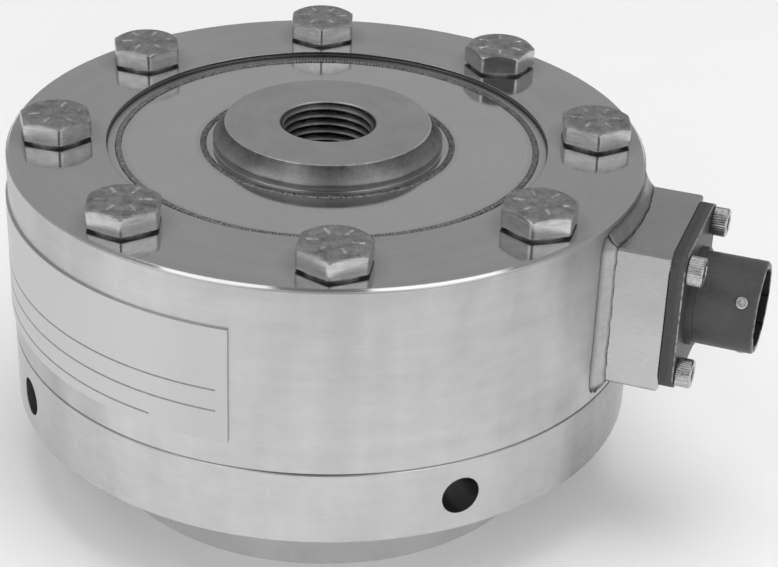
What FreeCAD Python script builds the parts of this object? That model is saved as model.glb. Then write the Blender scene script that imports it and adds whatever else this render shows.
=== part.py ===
# Universal load cell: a low-profile tension and compression cell on its mounting base.
# Frame: +Z up along the load axis, origin at the centre of the base's bottom face,
# +X towards the electrical connector. Sizes are millimetres and degrees.
import FreeCAD
import Part
import Sketcher
import math
import os
from FreeCAD import Placement, Rotation, Vector

doc = FreeCAD.newDocument("universal_load_cell")
sheet = doc.addObject("Spreadsheet::Sheet", "Sizes")

SIZES = [
    # flexure body
    ("body_diameter", 104.8, "outside diameter of the cell and its base"),
    ("body_height", 31.75, "seam to rim"),
    ("rim_chamfer", 0.55, "outer edge of the top face"),
    ("seam_chamfer", 0.25, "edges where cell and base meet"),
    ("recess_depth", 1.0, "depth of that recess"),
    ("hub_rise", 2.75, "hub's top face above the rim"),
    ("hub_diameter", 37.8, "hub above the diaphragm"),
    ("hub_flank", 1.9, "loading face inside the hub's edge"),
    ("hub_cone_height", 2.55, "conical flank below the loading face"),
    ("hub_shoulder_width", 1.6, "shoulder that the diaphragms fit round"),
    ("ledge_width", 1.1, "hub's ledge under each diaphragm"),
    ("cavity_width", 11.0, "gauge cavity between hub and rim"),
    ("cavity_ledge", 1.75, "rim's ledge under each diaphragm"),
    ("spoke_count", 4, "shear webs between hub and rim"),
    ("spoke_angle", 45.0, "first shear web from the connector"),
    ("spoke_width", 9.0, "width of a web's flanges"),
    ("spoke_height", 21.0, "height of a web"),
    ("spoke_root", 1.0, "overlap of a web with hub and rim"),
    ("web_thickness", 3.0, "web left between two gauge pockets"),
    ("gauge_pocket_diameter", 8.4, "round pocket on each side of a web"),
    ("passage_diameter", 9.0, "wire passage through the rim"),
    # threads on the load axis
    ("thread_diameter", 15.875, "major diameter of the load threads"),
    ("thread_bevel", 0.2, "countersink at each thread's mouth"),
    # diaphragms and their welds
    ("diaphragm_inset", 1.95, "flat ring between recess and diaphragm"),
    ("diaphragm_thickness", 0.6, "sheet thickness"),
    ("seat_clearance", 0.05, "gap between a diaphragm's edges and its seat"),
    ("bead_width", 1.2, "width of the diaphragm welds"),
    ("bead_height", 0.3, "height of the diaphragm welds"),
    # mounting base
    ("boss_diameter", 77.0, "boss under the base flange"),
    ("boss_height", 14.3, "height of the boss"),
    ("flange_height", 12.7, "height of the base flange"),
    ("base_chamfer", 0.4, "lower edges of the base"),
    ("spanner_hole_count", 4, "side holes for a hook spanner"),
    ("spanner_hole_angle", 45.0, "first side hole from the connector"),
    ("spanner_hole_diameter", 6.35, "side holes in the flange"),
    ("spanner_hole_depth", 12.7, "depth of a side hole"),
    # base bolts
    ("bolt_count", 8, "cap screws through the rim"),
    ("bolt_offset", 0.1, "their pitch circle outside the rim ring's middle"),
    ("bolt_diameter", 6.35, "thread of the cap screws"),
    ("bolt_engagement", 9.55, "length of thread in the base"),
    ("bolt_hole_clearance", 0.375, "radial gap in the rim"),
    ("bolt_tip_chamfer", 0.6, "chamfered tip"),
    ("bolt_flats", 10.95, "hexagon across flats"),
    ("bolt_head_height", 3.97, "head with its washer face"),
    ("washer_face_diameter", 10.4, "washer face under the hexagon"),
    ("washer_face_height", 0.45, "height of the washer face"),
    ("bolt_tip_room", 1.65, "tapped hole beyond a cap screw's tip"),
    ("thread_clearance", 0.03, "radial gap between a screw and its thread"),
    # nameplate
    ("plate_length", 76.2, "bare plate, measured round the rim"),
    ("plate_height", 19.5, "height of the plate"),
    ("plate_thickness", 0.4, "thickness of the plate"),
    ("plate_drop", 7.8, "upper edge below the rim"),
    ("plate_end_angle", -84.7, "right-hand end, from the connector"),
    # connector housing
    ("connector_offset", 0.225, "connector axis below the body's middle"),
    ("housing_size", 24.0, "side of the square housing"),
    ("housing_stand", 8.6, "outer face beyond the body's side"),
    ("housing_edge", 0.35, "broken edges of the housing"),
    ("barrel_clearance", 0.4, "radial gap round the connector's barrel"),
    ("weld_side_leg", 2.0, "fillet weld beside the housing"),
    ("weld_end_leg", 2.6, "fillet weld above and below the housing"),
    ("weld_reach", 1.25, "fillet weld along the housing"),
    ("weld_hollow", 0.85, "radius of the fillet's hollow face, as a share of its width"),
    # connector
    ("gasket_thickness", 1.3, "rubber gasket"),
    ("receptacle_inset", 0.1, "connector flange inside the housing's sides"),
    ("receptacle_corner", 3.0, "corner radius of flange and gasket"),
    ("receptacle_thickness", 1.0, "thickness of the connector flange"),
    ("shell_diameter", 15.0, "mating shell"),
    ("shell_length", 10.85, "shell in front of its flange"),
    ("shell_wall", 1.15, "wall of the shell"),
    ("shell_edge", 0.35, "broken edge at the mouth"),
    ("keyway_depth", 0.55, "grooves inside the shell"),
    ("main_keyway_width", 1.9, "the widest groove"),
    ("keyway_width", 1.3, "the four others"),
    ("collar_rise", 0.5, "collar between flange and shell"),
    ("collar_length", 1.2, "length of the collar"),
    ("barrel_wall", 0.85, "wall of the barrel behind the flange"),
    ("barrel_length", 5.6, "length of the barrel"),
    ("insert_depth", 9.9, "front of the insert behind the mouth"),
    ("pin_diameter", 1.02, "contact pins"),
    ("pin_circle", 6.6, "circle of the outer contacts"),
    ("outer_pin_count", 5, "contacts round the middle one"),
    ("pin_reach", 5.2, "pin in front of the insert"),
    ("pin_tip", 0.25, "tapered tip of a pin"),
    ("cup_diameter", 1.6, "solder cup"),
    ("cup_length", 2.6, "solder cup behind the insert"),
    ("bayonet_diameter", 1.9, "bayonet pins"),
    ("bayonet_count", 3, "bayonet pins round the shell"),
    ("bayonet_rise", 0.95, "bayonet pin above the shell"),
    ("bayonet_setback", 2.4, "bayonet pins behind the mouth"),
    ("screw_inset", 2.77, "connector screws from the flange's sides"),
    ("screw_diameter", 2.84, "connector screws"),
    ("screw_length", 9.5, "length under the head"),
    ("screw_head_diameter", 4.65, "socket head"),
    ("screw_head_height", 2.6, "socket head"),
    ("screw_head_edge", 0.25, "broken edge of the head"),
    ("socket_flats", 2.4, "hexagon socket across flats"),
    ("socket_depth", 1.3, "depth of the hexagon socket"),
    ("screw_tip_room", 0.7, "tapped hole beyond a screw's tip"),
    ("screw_clearance", 0.15, "radial gap in flange and gasket"),
    # wiring and gauges
    ("gauge_length", 5.4, "gauge backing"),
    ("gauge_width", 4.6, "gauge backing"),
    ("gauge_thickness", 0.2, "gauge backing"),
    ("board_clearance", 1.2, "board clear of hub and cavity wall"),
    ("board_thickness", 1.0, "compensation board"),
    ("resistor_length", 3.2, "trim resistors"),
    ("resistor_width", 1.6, "trim resistors"),
    ("resistor_height", 0.7, "trim resistors"),
    ("resistor_count", 6, "trim resistors on the board"),
    ("wire_diameter", 0.9, "insulated lead wires"),
    ("wire_bend", 2.5, "bend radius of a lead wire"),
]

# turn of each cap screw's hexagon about its own axis, as it was tightened
BOLT_TURNS = (-11.3, 31.7, 19.7, -15.3, 3.7, 6.7, 12.7, 19.7)
# grooves in the shell beside the main one on top, in degrees from it
KEYWAY_TURNS = (105, 140, 215, 265)

for row, (alias, value, meaning) in enumerate(SIZES, start=1):
    sheet.set("A%d" % row, meaning)
    sheet.set("B%d" % row, str(value))
    sheet.setAlias("B%d" % row, alias)
doc.recompute()


def size(alias):
    """expression for a cell of the sheet"""
    return "Sizes." + alias


def half(alias):
    """expression for half of a cell, such as a radius"""
    return "(Sizes.%s / 2)" % alias


def number(text):
    """present value of an expression"""
    value = sheet.evalExpression(text)
    return float(getattr(value, "Value", value))


# heights
base_top = "(Sizes.boss_height + Sizes.flange_height)"
rim_top = "(%s + Sizes.body_height)" % base_top
hub_top = "(%s + Sizes.hub_rise)" % rim_top
lower_floor = "(%s + Sizes.recess_depth)" % base_top
upper_floor = "(%s - Sizes.recess_depth)" % rim_top
lower_seat = "(%s + Sizes.diaphragm_thickness)" % lower_floor
upper_seat = "(%s - Sizes.diaphragm_thickness)" % upper_floor
middle = "(%s + Sizes.body_height / 2)" % base_top
spoke_top = "(%s + Sizes.spoke_height / 2)" % middle
connector_axis = "(%s - Sizes.connector_offset)" % middle

# radii
shoulder = "(%s + Sizes.hub_shoulder_width)" % half("hub_diameter")
diaphragm_inner = "(%s + Sizes.seat_clearance)" % shoulder
hub_wall = "(%s + Sizes.ledge_width)" % shoulder
cavity = "(%s + Sizes.cavity_width)" % hub_wall
diaphragm_outer = "(%s + Sizes.cavity_ledge)" % cavity
rebate_outer = "(%s + Sizes.seat_clearance)" % diaphragm_outer
recess = "(%s + Sizes.diaphragm_inset)" % diaphragm_outer
outer = half("body_diameter")
gauge_radius = "((%s + %s) / 2)" % (hub_wall, cavity)
board_inner = "(%s + Sizes.board_clearance)" % hub_wall
board_outer = "(%s - Sizes.board_clearance)" % cavity
thread_radius = half("thread_diameter")
mouth_radius = "(%s + Sizes.thread_bevel)" % thread_radius
bolt_circle = "((%s + %s) / 2 + Sizes.bolt_offset)" % (recess, outer)

# stations along the connector's axis, from the load axis
housing_face = "(%s + Sizes.housing_stand)" % outer
flange_back = "(%s + Sizes.gasket_thickness)" % housing_face
flange_front = "(%s + Sizes.receptacle_thickness)" % flange_back
shell_end = "(%s + Sizes.shell_length)" % flange_front
barrel_end = "(%s - Sizes.barrel_length)" % flange_back
insert_front = "(%s - Sizes.insert_depth)" % shell_end
cup_end = "(%s - Sizes.cup_length)" % barrel_end
screw_hole_end = "(%s - Sizes.screw_length - Sizes.screw_tip_room)" % flange_front

# across the connector's axis
receptacle_side = "(%s - Sizes.receptacle_inset)" % half("housing_size")
screw_reach = "(%s - Sizes.screw_inset)" % receptacle_side
shell_bore = "(%s - Sizes.shell_wall)" % half("shell_diameter")
barrel = "(%s + Sizes.barrel_wall)" % shell_bore
collar = "(%s + Sizes.collar_rise)" % half("shell_diameter")

MARGIN = "1"


def new_body(label, height=None, several=False):
    """body whose own origin may stand at a height above the row's origin"""
    body = doc.addObject("PartDesign::Body", label)
    body.Label = label
    body.AllowCompound = several
    if height:
        body.setExpression("Placement.Base.z", height)
    return body


def datum(body, role):
    """plane or axis of a body's origin"""
    return [item for item in body.Origin.OriginFeatures if item.Role == role][0]


def new_sketch(body, name, role, offset=None):
    """sketch on an origin plane, or parallel to it at an offset"""
    sketch = body.newObject("Sketcher::SketchObject", name)
    sketch.AttachmentSupport = (datum(body, role), [""])
    sketch.MapMode = "FlatFace"
    if offset:
        sketch.setExpression("AttachmentOffset.Base.z", offset)
    return sketch


def pin_point(sketch, geometry, vertex, place):
    """tie a vertex to the sketch's origin by two expressions"""
    for kind, text in zip(("DistanceX", "DistanceY"), place):
        rule = Sketcher.Constraint(kind, -1, 1, geometry, vertex, number(text))
        index = sketch.addConstraint(rule)
        sketch.setExpression("Constraints[%d]" % index, text)


def pin_radius(sketch, geometry, radius):
    """tie the radius of a circle or arc to an expression"""
    rule = sketch.addConstraint(Sketcher.Constraint("Radius", geometry, number(radius)))
    sketch.setExpression("Constraints[%d]" % rule, radius)


def make_arc(start, end, radius, side):
    """arc between two points, its centre to the left (1) or the right (-1) of their direction"""
    chord = end - start
    across = Vector(-chord.y, chord.x, 0).normalize() * side
    centre = (start + end) / 2 + across * math.sqrt(radius ** 2 - chord.Length ** 2 / 4)
    first, last = (start, end) if side > 0 else (end, start)
    angles = [math.atan2(point.y - centre.y, point.x - centre.x) for point in (first, last)]
    return Part.ArcOfCircle(Part.Circle(centre, Vector(0, 0, 1), radius), angles[0], angles[1])


def add_outline(sketch, corners, arcs=None):
    """closed outline through corners given as expressions; arcs gives the radius and side
    of each edge that isn't straight, by the number of the corner where it starts"""
    first = sketch.GeometryCount
    points = [Vector(number(u), number(v), 0) for u, v in corners]
    count = len(points)
    ends = []
    for index in range(count):
        start, end = points[index], points[(index + 1) % count]
        radius, side = (arcs or {}).get(index, (None, 1))
        if radius:
            sketch.addGeometry(make_arc(start, end, number(radius), side))
            pin_radius(sketch, first + index, radius)
        else:
            sketch.addGeometry(Part.LineSegment(start, end))
        ends.append((1, 2) if side > 0 else (2, 1))
    for index in range(count):
        following = (index + 1) % count
        rule = Sketcher.Constraint("Coincident", first + index, ends[index][1], first + following, ends[following][0])
        sketch.addConstraint(rule)
    for index, place in enumerate(corners):
        pin_point(sketch, first + index, ends[index][0], place)


def add_rectangle(sketch, low, high):
    """rectangle between two corners given as expressions"""
    add_outline(sketch, [low, (high[0], low[1]), high, (low[0], high[1])])


def add_circle(sketch, place, radius):
    """circle whose centre and radius are expressions"""
    centre = Vector(number(place[0]), number(place[1]), 0)
    index = sketch.addGeometry(Part.Circle(centre, Vector(0, 0, 1), number(radius)))
    pin_point(sketch, index, 3, place)
    pin_radius(sketch, index, radius)


def add_hexagon(sketch, place, flats):
    """regular hexagon, two corners on the sketch's horizontal"""
    corners = []
    for step in range(6):
        reach = "(%s) / 2 / cos(30 deg)" % flats
        across = "%s + %s * cos(%d deg)" % (place[0], reach, 60 * step)
        up = "%s + %s * sin(%d deg)" % (place[1], reach, 60 * step)
        corners.append((across, up))
    add_outline(sketch, corners)


def add_feature(body, kind, name, sketch, length, reverse=False):
    """pad or pocket of a sketch"""
    feature = body.newObject("PartDesign::" + kind, name)
    feature.Profile = sketch
    feature.setExpression("Length", length)
    feature.Reversed = reverse
    sketch.Visibility = False
    body.Tip = feature
    return feature


def pad(body, name, sketch, length, reverse=False):
    return add_feature(body, "Pad", name, sketch, length, reverse)


def pocket(body, name, sketch, length, reverse=False):
    return add_feature(body, "Pocket", name, sketch, length, reverse)


def turn(body, name, corners, about="V_Axis", kind="Revolution", angle="360", arcs=None):
    """outline in the XZ plane turned about Z, or about X with H_Axis"""
    sketch = new_sketch(body, name + "_outline", "XZ_Plane")
    add_outline(sketch, corners, arcs)
    feature = body.newObject("PartDesign::" + kind, name)
    feature.Profile = sketch
    feature.ReferenceAxis = (sketch, [about])
    feature.Midplane = True
    feature.setExpression("Angle", angle)
    body.Tip = feature
    return feature


def repeat(body, name, features, count, role="Z_Axis"):
    """features repeated round an axis of the body's origin"""
    pattern = body.newObject("PartDesign::PolarPattern", name)
    pattern.Originals = features
    pattern.Axis = (datum(body, role), [""])
    pattern.Angle = 360
    pattern.setExpression("Occurrences", count)
    body.Tip = pattern
    return pattern


def round_edges(body, name, radius, chosen, kind="Fillet"):
    """fillet or chamfer on the straight edges of the tip that a test picks"""
    doc.recompute()
    base = body.Tip
    names = []
    for index, edge in enumerate(base.Shape.Edges, start=1):
        if len(edge.Vertexes) == 2 and chosen(edge):
            names.append("Edge%d" % index)
    feature = body.newObject("PartDesign::" + kind, name)
    feature.Base = (base, names)
    feature.setExpression("Radius" if kind == "Fillet" else "Size", radius)
    body.Tip = feature
    return feature


def along_x(edge):
    """straight edge parallel to X"""
    start, end = (vertex.Point for vertex in edge.Vertexes)
    run = end - start
    return run.Length > 1e-6 and abs(run.x) > 0.999 * run.Length


def tilt_sketch(sketch, axis, angle, push=None):
    """turn an attached sketch about one of its own axes, then push it outwards"""
    sketch.AttachmentOffset = Placement(Vector(), Rotation(axis, 1))
    sketch.setExpression("AttachmentOffset.Rotation.Angle", angle)
    if push:
        sketch.setExpression("AttachmentOffset.Base.x", "(%s) * sin(%s * 1 deg)" % (push, angle))
        sketch.setExpression("AttachmentOffset.Base.z", "(%s) * cos(%s * 1 deg)" % (push, angle))


def bolt_place():
    """centre of the first bolt hole in plan"""
    turned = "180 deg / Sizes.bolt_count"
    return ("%s * cos(%s)" % (bolt_circle, turned), "%s * sin(%s)" % (bolt_circle, turned))


def screw_places():
    """centres of the connector screws across the connector's axis"""
    return [(a + screw_reach, b + screw_reach) for a in ("-", "") for b in ("-", "")]


def make_flexure_body():
    """rim, hub and shear webs cut from one forging, with its holes"""
    body = new_body("flexure_body")
    turn(body, "rim", [
        (cavity, lower_seat),
        (rebate_outer, lower_seat),
        (rebate_outer, lower_floor),
        (recess, lower_floor),
        (recess, base_top),
        (outer + " - Sizes.seam_chamfer", base_top),
        (outer, base_top + " + Sizes.seam_chamfer"),
        (outer, rim_top + " - Sizes.rim_chamfer"),
        (outer + " - Sizes.rim_chamfer", rim_top),
        (recess, rim_top),
        (recess, upper_floor),
        (rebate_outer, upper_floor),
        (rebate_outer, upper_seat),
        (cavity, upper_seat)])
    spoke = new_sketch(body, "spoke_outline", "XY_Plane")
    tilt_sketch(spoke, Vector(0, 0, 1), size("spoke_angle"))
    spoke.setExpression("AttachmentOffset.Base.z", spoke_top)
    add_rectangle(
        spoke,
        (hub_wall + " - Sizes.spoke_root", "-" + half("spoke_width")),
        (cavity + " + Sizes.spoke_root", half("spoke_width")))
    web = pad(body, "spoke", spoke, size("spoke_height"), reverse=True)
    repeat(body, "spokes", [web], size("spoke_count"))
    hub = half("hub_diameter")
    turn(body, "hub", [
        (thread_radius, lower_floor + " + Sizes.thread_bevel"),
        (mouth_radius, lower_floor),
        (shoulder, lower_floor),
        (shoulder, lower_seat),
        (hub_wall, lower_seat),
        (hub_wall, upper_seat),
        (shoulder, upper_seat),
        (shoulder, upper_floor),
        (hub, upper_floor),
        (hub, hub_top + " - Sizes.hub_cone_height"),
        (hub + " - Sizes.hub_flank", hub_top),
        (mouth_radius, hub_top),
        (thread_radius, hub_top + " - Sizes.thread_bevel")])
    pocket_depth = "(Sizes.spoke_width - Sizes.web_thickness) / 2 + " + MARGIN
    pockets = []
    for name, sign, reverse in (("left", "", True), ("right", "-", False)):
        sketch = new_sketch(body, "gauge_pocket_%s_outline" % name, "XZ_Plane")
        tilt_sketch(sketch, Vector(0, 1, 0), size("spoke_angle"), sign + half("web_thickness"))
        add_circle(sketch, (gauge_radius, middle), half("gauge_pocket_diameter"))
        pockets.append(pocket(body, "gauge_pocket_" + name, sketch, pocket_depth, reverse))
    repeat(body, "gauge_pockets", pockets, size("spoke_count"))
    hole = new_sketch(body, "bolt_hole_outline", "XY_Plane", rim_top)
    add_circle(hole, bolt_place(), half("bolt_diameter") + " + Sizes.bolt_hole_clearance")
    first = pocket(body, "bolt_hole", hole, size("body_height"))
    repeat(body, "bolt_holes", [first], size("bolt_count"))
    passage = new_sketch(body, "passage_outline", "YZ_Plane", "%s + %s" % (outer, MARGIN))
    add_circle(passage, ("0", connector_axis), half("passage_diameter"))
    pocket(body, "passage", passage, "%s + %s - %s" % (outer, MARGIN, gauge_radius))
    return body


def make_diaphragm(label, low):
    """thin disc that closes the gauge cavity between hub and rim"""
    body = new_body(label, low)
    turn(body, label + "_ring", [
        (diaphragm_inner, "0"),
        (diaphragm_outer, "0"),
        (diaphragm_outer, size("diaphragm_thickness")),
        (diaphragm_inner, size("diaphragm_thickness"))])
    return body


def make_bead(label, radius, face, upwards):
    """weld bead with a rounded back, laid over the joint at a radius"""
    body = new_body(label, face)
    width = half("bead_width")
    rise = "Sizes.bead_height" if upwards else "-Sizes.bead_height"
    turn(body, label + "_ring", [
        ("%s - %s" % (radius, width), "0"),
        ("%s + %s" % (radius, width), "0"),
        ("%s + %s * 0.62" % (radius, width), rise + " * 0.72"),
        (radius, rise),
        ("%s - %s * 0.62" % (radius, width), rise + " * 0.72")])
    return body


def make_mounting_base():
    """flange and boss turned from one bar, tapped for the bolts and the load thread"""
    body = new_body("mounting_base")
    boss = half("boss_diameter")
    turn(body, "base", [
        (mouth_radius, "0"),
        (boss + " - Sizes.base_chamfer", "0"),
        (boss, size("base_chamfer")),
        (boss, size("boss_height")),
        (outer + " - Sizes.base_chamfer", size("boss_height")),
        (outer, "Sizes.boss_height + Sizes.base_chamfer"),
        (outer, base_top + " - Sizes.seam_chamfer"),
        (outer + " - Sizes.seam_chamfer", base_top),
        (mouth_radius, base_top),
        (thread_radius, base_top + " - Sizes.thread_bevel"),
        (thread_radius, size("thread_bevel"))])
    hole = new_sketch(body, "tapped_hole_outline", "XY_Plane", base_top)
    add_circle(hole, bolt_place(), half("bolt_diameter") + " + Sizes.thread_clearance")
    first = pocket(body, "tapped_hole", hole, "Sizes.bolt_engagement + Sizes.bolt_tip_room")
    repeat(body, "tapped_holes", [first], size("bolt_count"))
    side = new_sketch(body, "spanner_hole_outline", "YZ_Plane")
    tilt_sketch(side, Vector(0, 1, 0), size("spanner_hole_angle"), outer)
    side_height = "Sizes.boss_height + Sizes.flange_height / 2"
    add_circle(side, ("0", side_height), half("spanner_hole_diameter"))
    first = pocket(body, "spanner_hole", side, size("spanner_hole_depth"))
    repeat(body, "spanner_holes", [first], size("spanner_hole_count"))
    return body


def make_base_bolt(index, turned):
    """hexagon cap screw through the rim into the base"""
    body = new_body("base_bolt_%d" % (index + 1))
    radius = half("bolt_diameter")
    washer = half("washer_face_diameter")
    tip = "-(Sizes.body_height + Sizes.bolt_engagement)"
    turn(body, "shank", [
        ("0", tip),
        (radius + " - Sizes.bolt_tip_chamfer", tip),
        (radius, tip + " + Sizes.bolt_tip_chamfer"),
        (radius, "0"),
        (washer, "0"),
        (washer, size("washer_face_height")),
        ("0", size("washer_face_height"))])
    hexagon = new_sketch(body, "hexagon", "XY_Plane", size("washer_face_height"))
    add_hexagon(hexagon, ("0", "0"), size("bolt_flats"))
    pad(body, "head", hexagon, "Sizes.bolt_head_height - Sizes.washer_face_height")
    corner = "Sizes.bolt_flats * 0.65"
    crown = "Sizes.bolt_flats * 0.475"
    turn(body, "crown", [
        (crown, size("bolt_head_height")),
        (corner, size("bolt_head_height")),
        (corner, "Sizes.bolt_head_height - (%s - %s) * tan(30 deg)" % (corner, crown))],
        kind="Groove")
    place = bolt_place()
    angle = 360.0 * index / number(size("bolt_count"))
    centre = Rotation(Vector(0, 0, 1), angle).multVec(Vector(number(place[0]), number(place[1]), 0))
    centre.z = number(rim_top)
    body.Placement = Placement(centre, Rotation(Vector(0, 0, 1), angle + turned))
    return body


def make_base_bolts():
    """the ring of cap screws as one group of separate solids"""
    group = doc.addObject("Part::Compound", "base_bolts")
    group.Label = "base_bolts"
    bolts = []
    for index in range(int(number(size("bolt_count")))):
        bolts.append(make_base_bolt(index, BOLT_TURNS[index % len(BOLT_TURNS)]))
    group.Links = bolts
    return group


def make_nameplate():
    """bare plate bent round the side of the body"""
    body = new_body("nameplate")
    top = rim_top + " - Sizes.plate_drop"
    low = top + " - Sizes.plate_height"
    span = "Sizes.plate_length / %s * 180 / pi" % outer
    turn(body, "plate", [
        (outer, low),
        (outer + " + Sizes.plate_thickness", low),
        (outer + " + Sizes.plate_thickness", top),
        (outer, top)], angle=span)
    centre = number(size("plate_end_angle")) - number(span) / 2
    body.Placement = Placement(Vector(), Rotation(Vector(0, 0, 1), centre))
    return body


def make_connector_housing():
    """square housing, hollowed at the back to sit on the round body"""
    body = new_body("connector_housing", connector_axis)
    side = half("housing_size")
    block = new_sketch(body, "block_outline", "YZ_Plane", housing_face)
    add_rectangle(block, ("-" + side, "-" + side), (side, side))
    pad(body, "block", block, "Sizes.housing_stand + Sizes.housing_size / 4", True)
    face = number(housing_face)

    def outer_edge(edge):
        start, end = (vertex.Point for vertex in edge.Vertexes)
        return along_x(edge) or min(start.x, end.x) > face - 0.001

    round_edges(body, "broken_edges", size("housing_edge"), outer_edge, "Chamfer")
    saddle = new_sketch(body, "saddle_outline", "XY_Plane", side + " + " + MARGIN)
    add_circle(saddle, ("0", "0"), outer)
    pocket(body, "saddle", saddle, "Sizes.housing_size + 2 * " + MARGIN)
    bore = new_sketch(body, "bore_outline", "YZ_Plane", housing_face)
    add_circle(bore, ("0", "0"), barrel + " + Sizes.barrel_clearance")
    pocket(body, "bore", bore, "Sizes.housing_stand + Sizes.housing_size / 4")
    holes = new_sketch(body, "screw_holes_outline", "YZ_Plane", housing_face)
    for place in screw_places():
        add_circle(holes, place, half("screw_diameter") + " + Sizes.thread_clearance")
    pocket(body, "screw_holes", holes, "%s - %s" % (housing_face, screw_hole_end))
    return body


def make_housing_weld():
    """fillet weld with a hollow face, all round the housing's foot"""
    body = new_body("housing_weld", connector_axis)
    side = half("housing_size")
    end_toe = "(%s + Sizes.weld_end_leg)" % side
    far = outer + " + Sizes.weld_reach"
    end_hollow = "Sizes.weld_hollow * sqrt(Sizes.weld_end_leg ^ 2 + Sizes.weld_reach ^ 2)"
    turn(body, "weld_ring", [
        (outer, "-" + end_toe),
        (far, "-" + side),
        (far, side),
        (outer, end_toe)], angle="60", arcs={0: (end_hollow, -1), 2: (end_hollow, -1)})
    toe = "(%s + Sizes.weld_side_leg)" % side
    toe_x = "sqrt(%s ^ 2 - %s ^ 2)" % (outer, toe)
    block_x = "(sqrt(%s ^ 2 - %s ^ 2) + Sizes.weld_reach)" % (outer, side)
    side_hollow = "Sizes.weld_hollow * sqrt((%s - %s) ^ 2 + Sizes.weld_side_leg ^ 2)" % (block_x, toe_x)
    beyond = "Sizes.body_diameter"
    for name, sign, turned in (("left", "-", -1), ("right", "", 1)):
        trim = new_sketch(body, "trim_%s_outline" % name, "XY_Plane", "Sizes.housing_size")
        add_outline(trim, [
            ("0", "%s%s" % (sign, toe)),
            (toe_x, "%s%s" % (sign, toe)),
            (block_x, "%s%s" % (sign, side)),
            (beyond, "%s%s" % (sign, side)),
            (beyond, "%s%s" % (sign, beyond)),
            ("0", "%s%s" % (sign, beyond))], arcs={1: (side_hollow, turned)})
        pocket(body, "trim_" + name, trim, "2 * Sizes.housing_size")
    foot = new_sketch(body, "foot_outline", "YZ_Plane", beyond)
    add_rectangle(foot, ("-" + side, "-" + side), (side, side))
    pocket(body, "foot", foot, beyond)
    return body


def add_square_plate(body, name, back, thickness, hole):
    """square plate with rounded corners, a round hole and four screw holes"""
    side = receptacle_side
    sketch = new_sketch(body, name + "_outline", "YZ_Plane", back)
    add_rectangle(sketch, ("-" + side, "-" + side), (side, side))
    pad(body, name, sketch, thickness)
    round_edges(body, name + "_corners", size("receptacle_corner"), along_x)
    holes = new_sketch(body, name + "_holes_outline", "YZ_Plane", "%s + %s" % (back, thickness))
    add_circle(holes, ("0", "0"), hole)
    for place in screw_places():
        add_circle(holes, place, half("screw_diameter") + " + Sizes.screw_clearance")
    pocket(body, name + "_holes", holes, thickness)


def make_connector_gasket():
    """rubber gasket between housing and connector flange"""
    body = new_body("connector_gasket", connector_axis)
    hole = barrel + " + Sizes.seat_clearance"
    add_square_plate(body, "sheet", housing_face, size("gasket_thickness"), hole)
    return body


def make_connector_shell():
    """square flange, mating shell in front and barrel behind, in one piece"""
    body = new_body("connector_shell", connector_axis)
    add_square_plate(body, "flange", flange_back, size("receptacle_thickness"), shell_bore)
    shell = half("shell_diameter")
    collar_end = "%s + Sizes.collar_length" % flange_front
    turn(body, "shell", [
        (barrel_end, shell_bore),
        (shell_end, shell_bore),
        (shell_end, shell + " - Sizes.shell_edge"),
        (shell_end + " - Sizes.shell_edge", shell),
        (collar_end, shell),
        (collar_end, collar),
        (flange_back + " + Sizes.receptacle_thickness / 2", collar),
        (flange_back + " + Sizes.receptacle_thickness / 2", barrel),
        (barrel_end, barrel)], about="H_Axis")
    keyways = [(0, size("main_keyway_width"))]
    keyways += [(angle, size("keyway_width")) for angle in KEYWAY_TURNS]
    for index, (angle, width) in enumerate(keyways):
        keyway = new_sketch(body, "keyway_%d_outline" % index, "YZ_Plane", shell_end)
        tilt_sketch(keyway, Vector(0, 0, 1), "%d" % angle)
        keyway.setExpression("AttachmentOffset.Base.z", shell_end)
        add_rectangle(
            keyway,
            ("-%s / 2" % width, "%s / 2" % shell_bore),
            ("%s / 2" % width, "%s + Sizes.keyway_depth" % shell_bore))
        pocket(body, "keyway_%d" % index, keyway, "Sizes.insert_depth")
    place = "%s - Sizes.bayonet_setback" % shell_end
    hole = new_sketch(body, "bayonet_hole_outline", "XY_Plane", "-" + shell + " - " + MARGIN)
    add_circle(hole, (place, "0"), half("bayonet_diameter"))
    depth = "%s + %s - %s / 2" % (shell, MARGIN, shell_bore)
    first = pocket(body, "bayonet_hole", hole, depth, reverse=True)
    repeat(body, "bayonet_holes", [first], size("bayonet_count"), "X_Axis")
    return body


def add_contact_circles(sketch, radius):
    """one circle in the middle and the others round it"""
    add_circle(sketch, ("0", "0"), radius)
    count = int(number(size("outer_pin_count")))
    for index in range(count):
        angle = "(90 + 360 * %d / Sizes.outer_pin_count) * 1 deg" % index
        ring = half("pin_circle")
        add_circle(sketch, ("%s * cos(%s)" % (ring, angle), "%s * sin(%s)" % (ring, angle)), radius)


def make_connector_insert():
    """moulded insulator that holds the contacts"""
    body = new_body("connector_insert", connector_axis)
    turn(body, "insulator", [
        (barrel_end, "0"),
        (insert_front, "0"),
        (insert_front, shell_bore),
        (barrel_end, shell_bore)], about="H_Axis")
    holes = new_sketch(body, "contact_holes_outline", "YZ_Plane", insert_front)
    add_contact_circles(holes, half("pin_diameter"))
    pocket(body, "contact_holes", holes, "%s - %s" % (insert_front, barrel_end))
    return body


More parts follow.
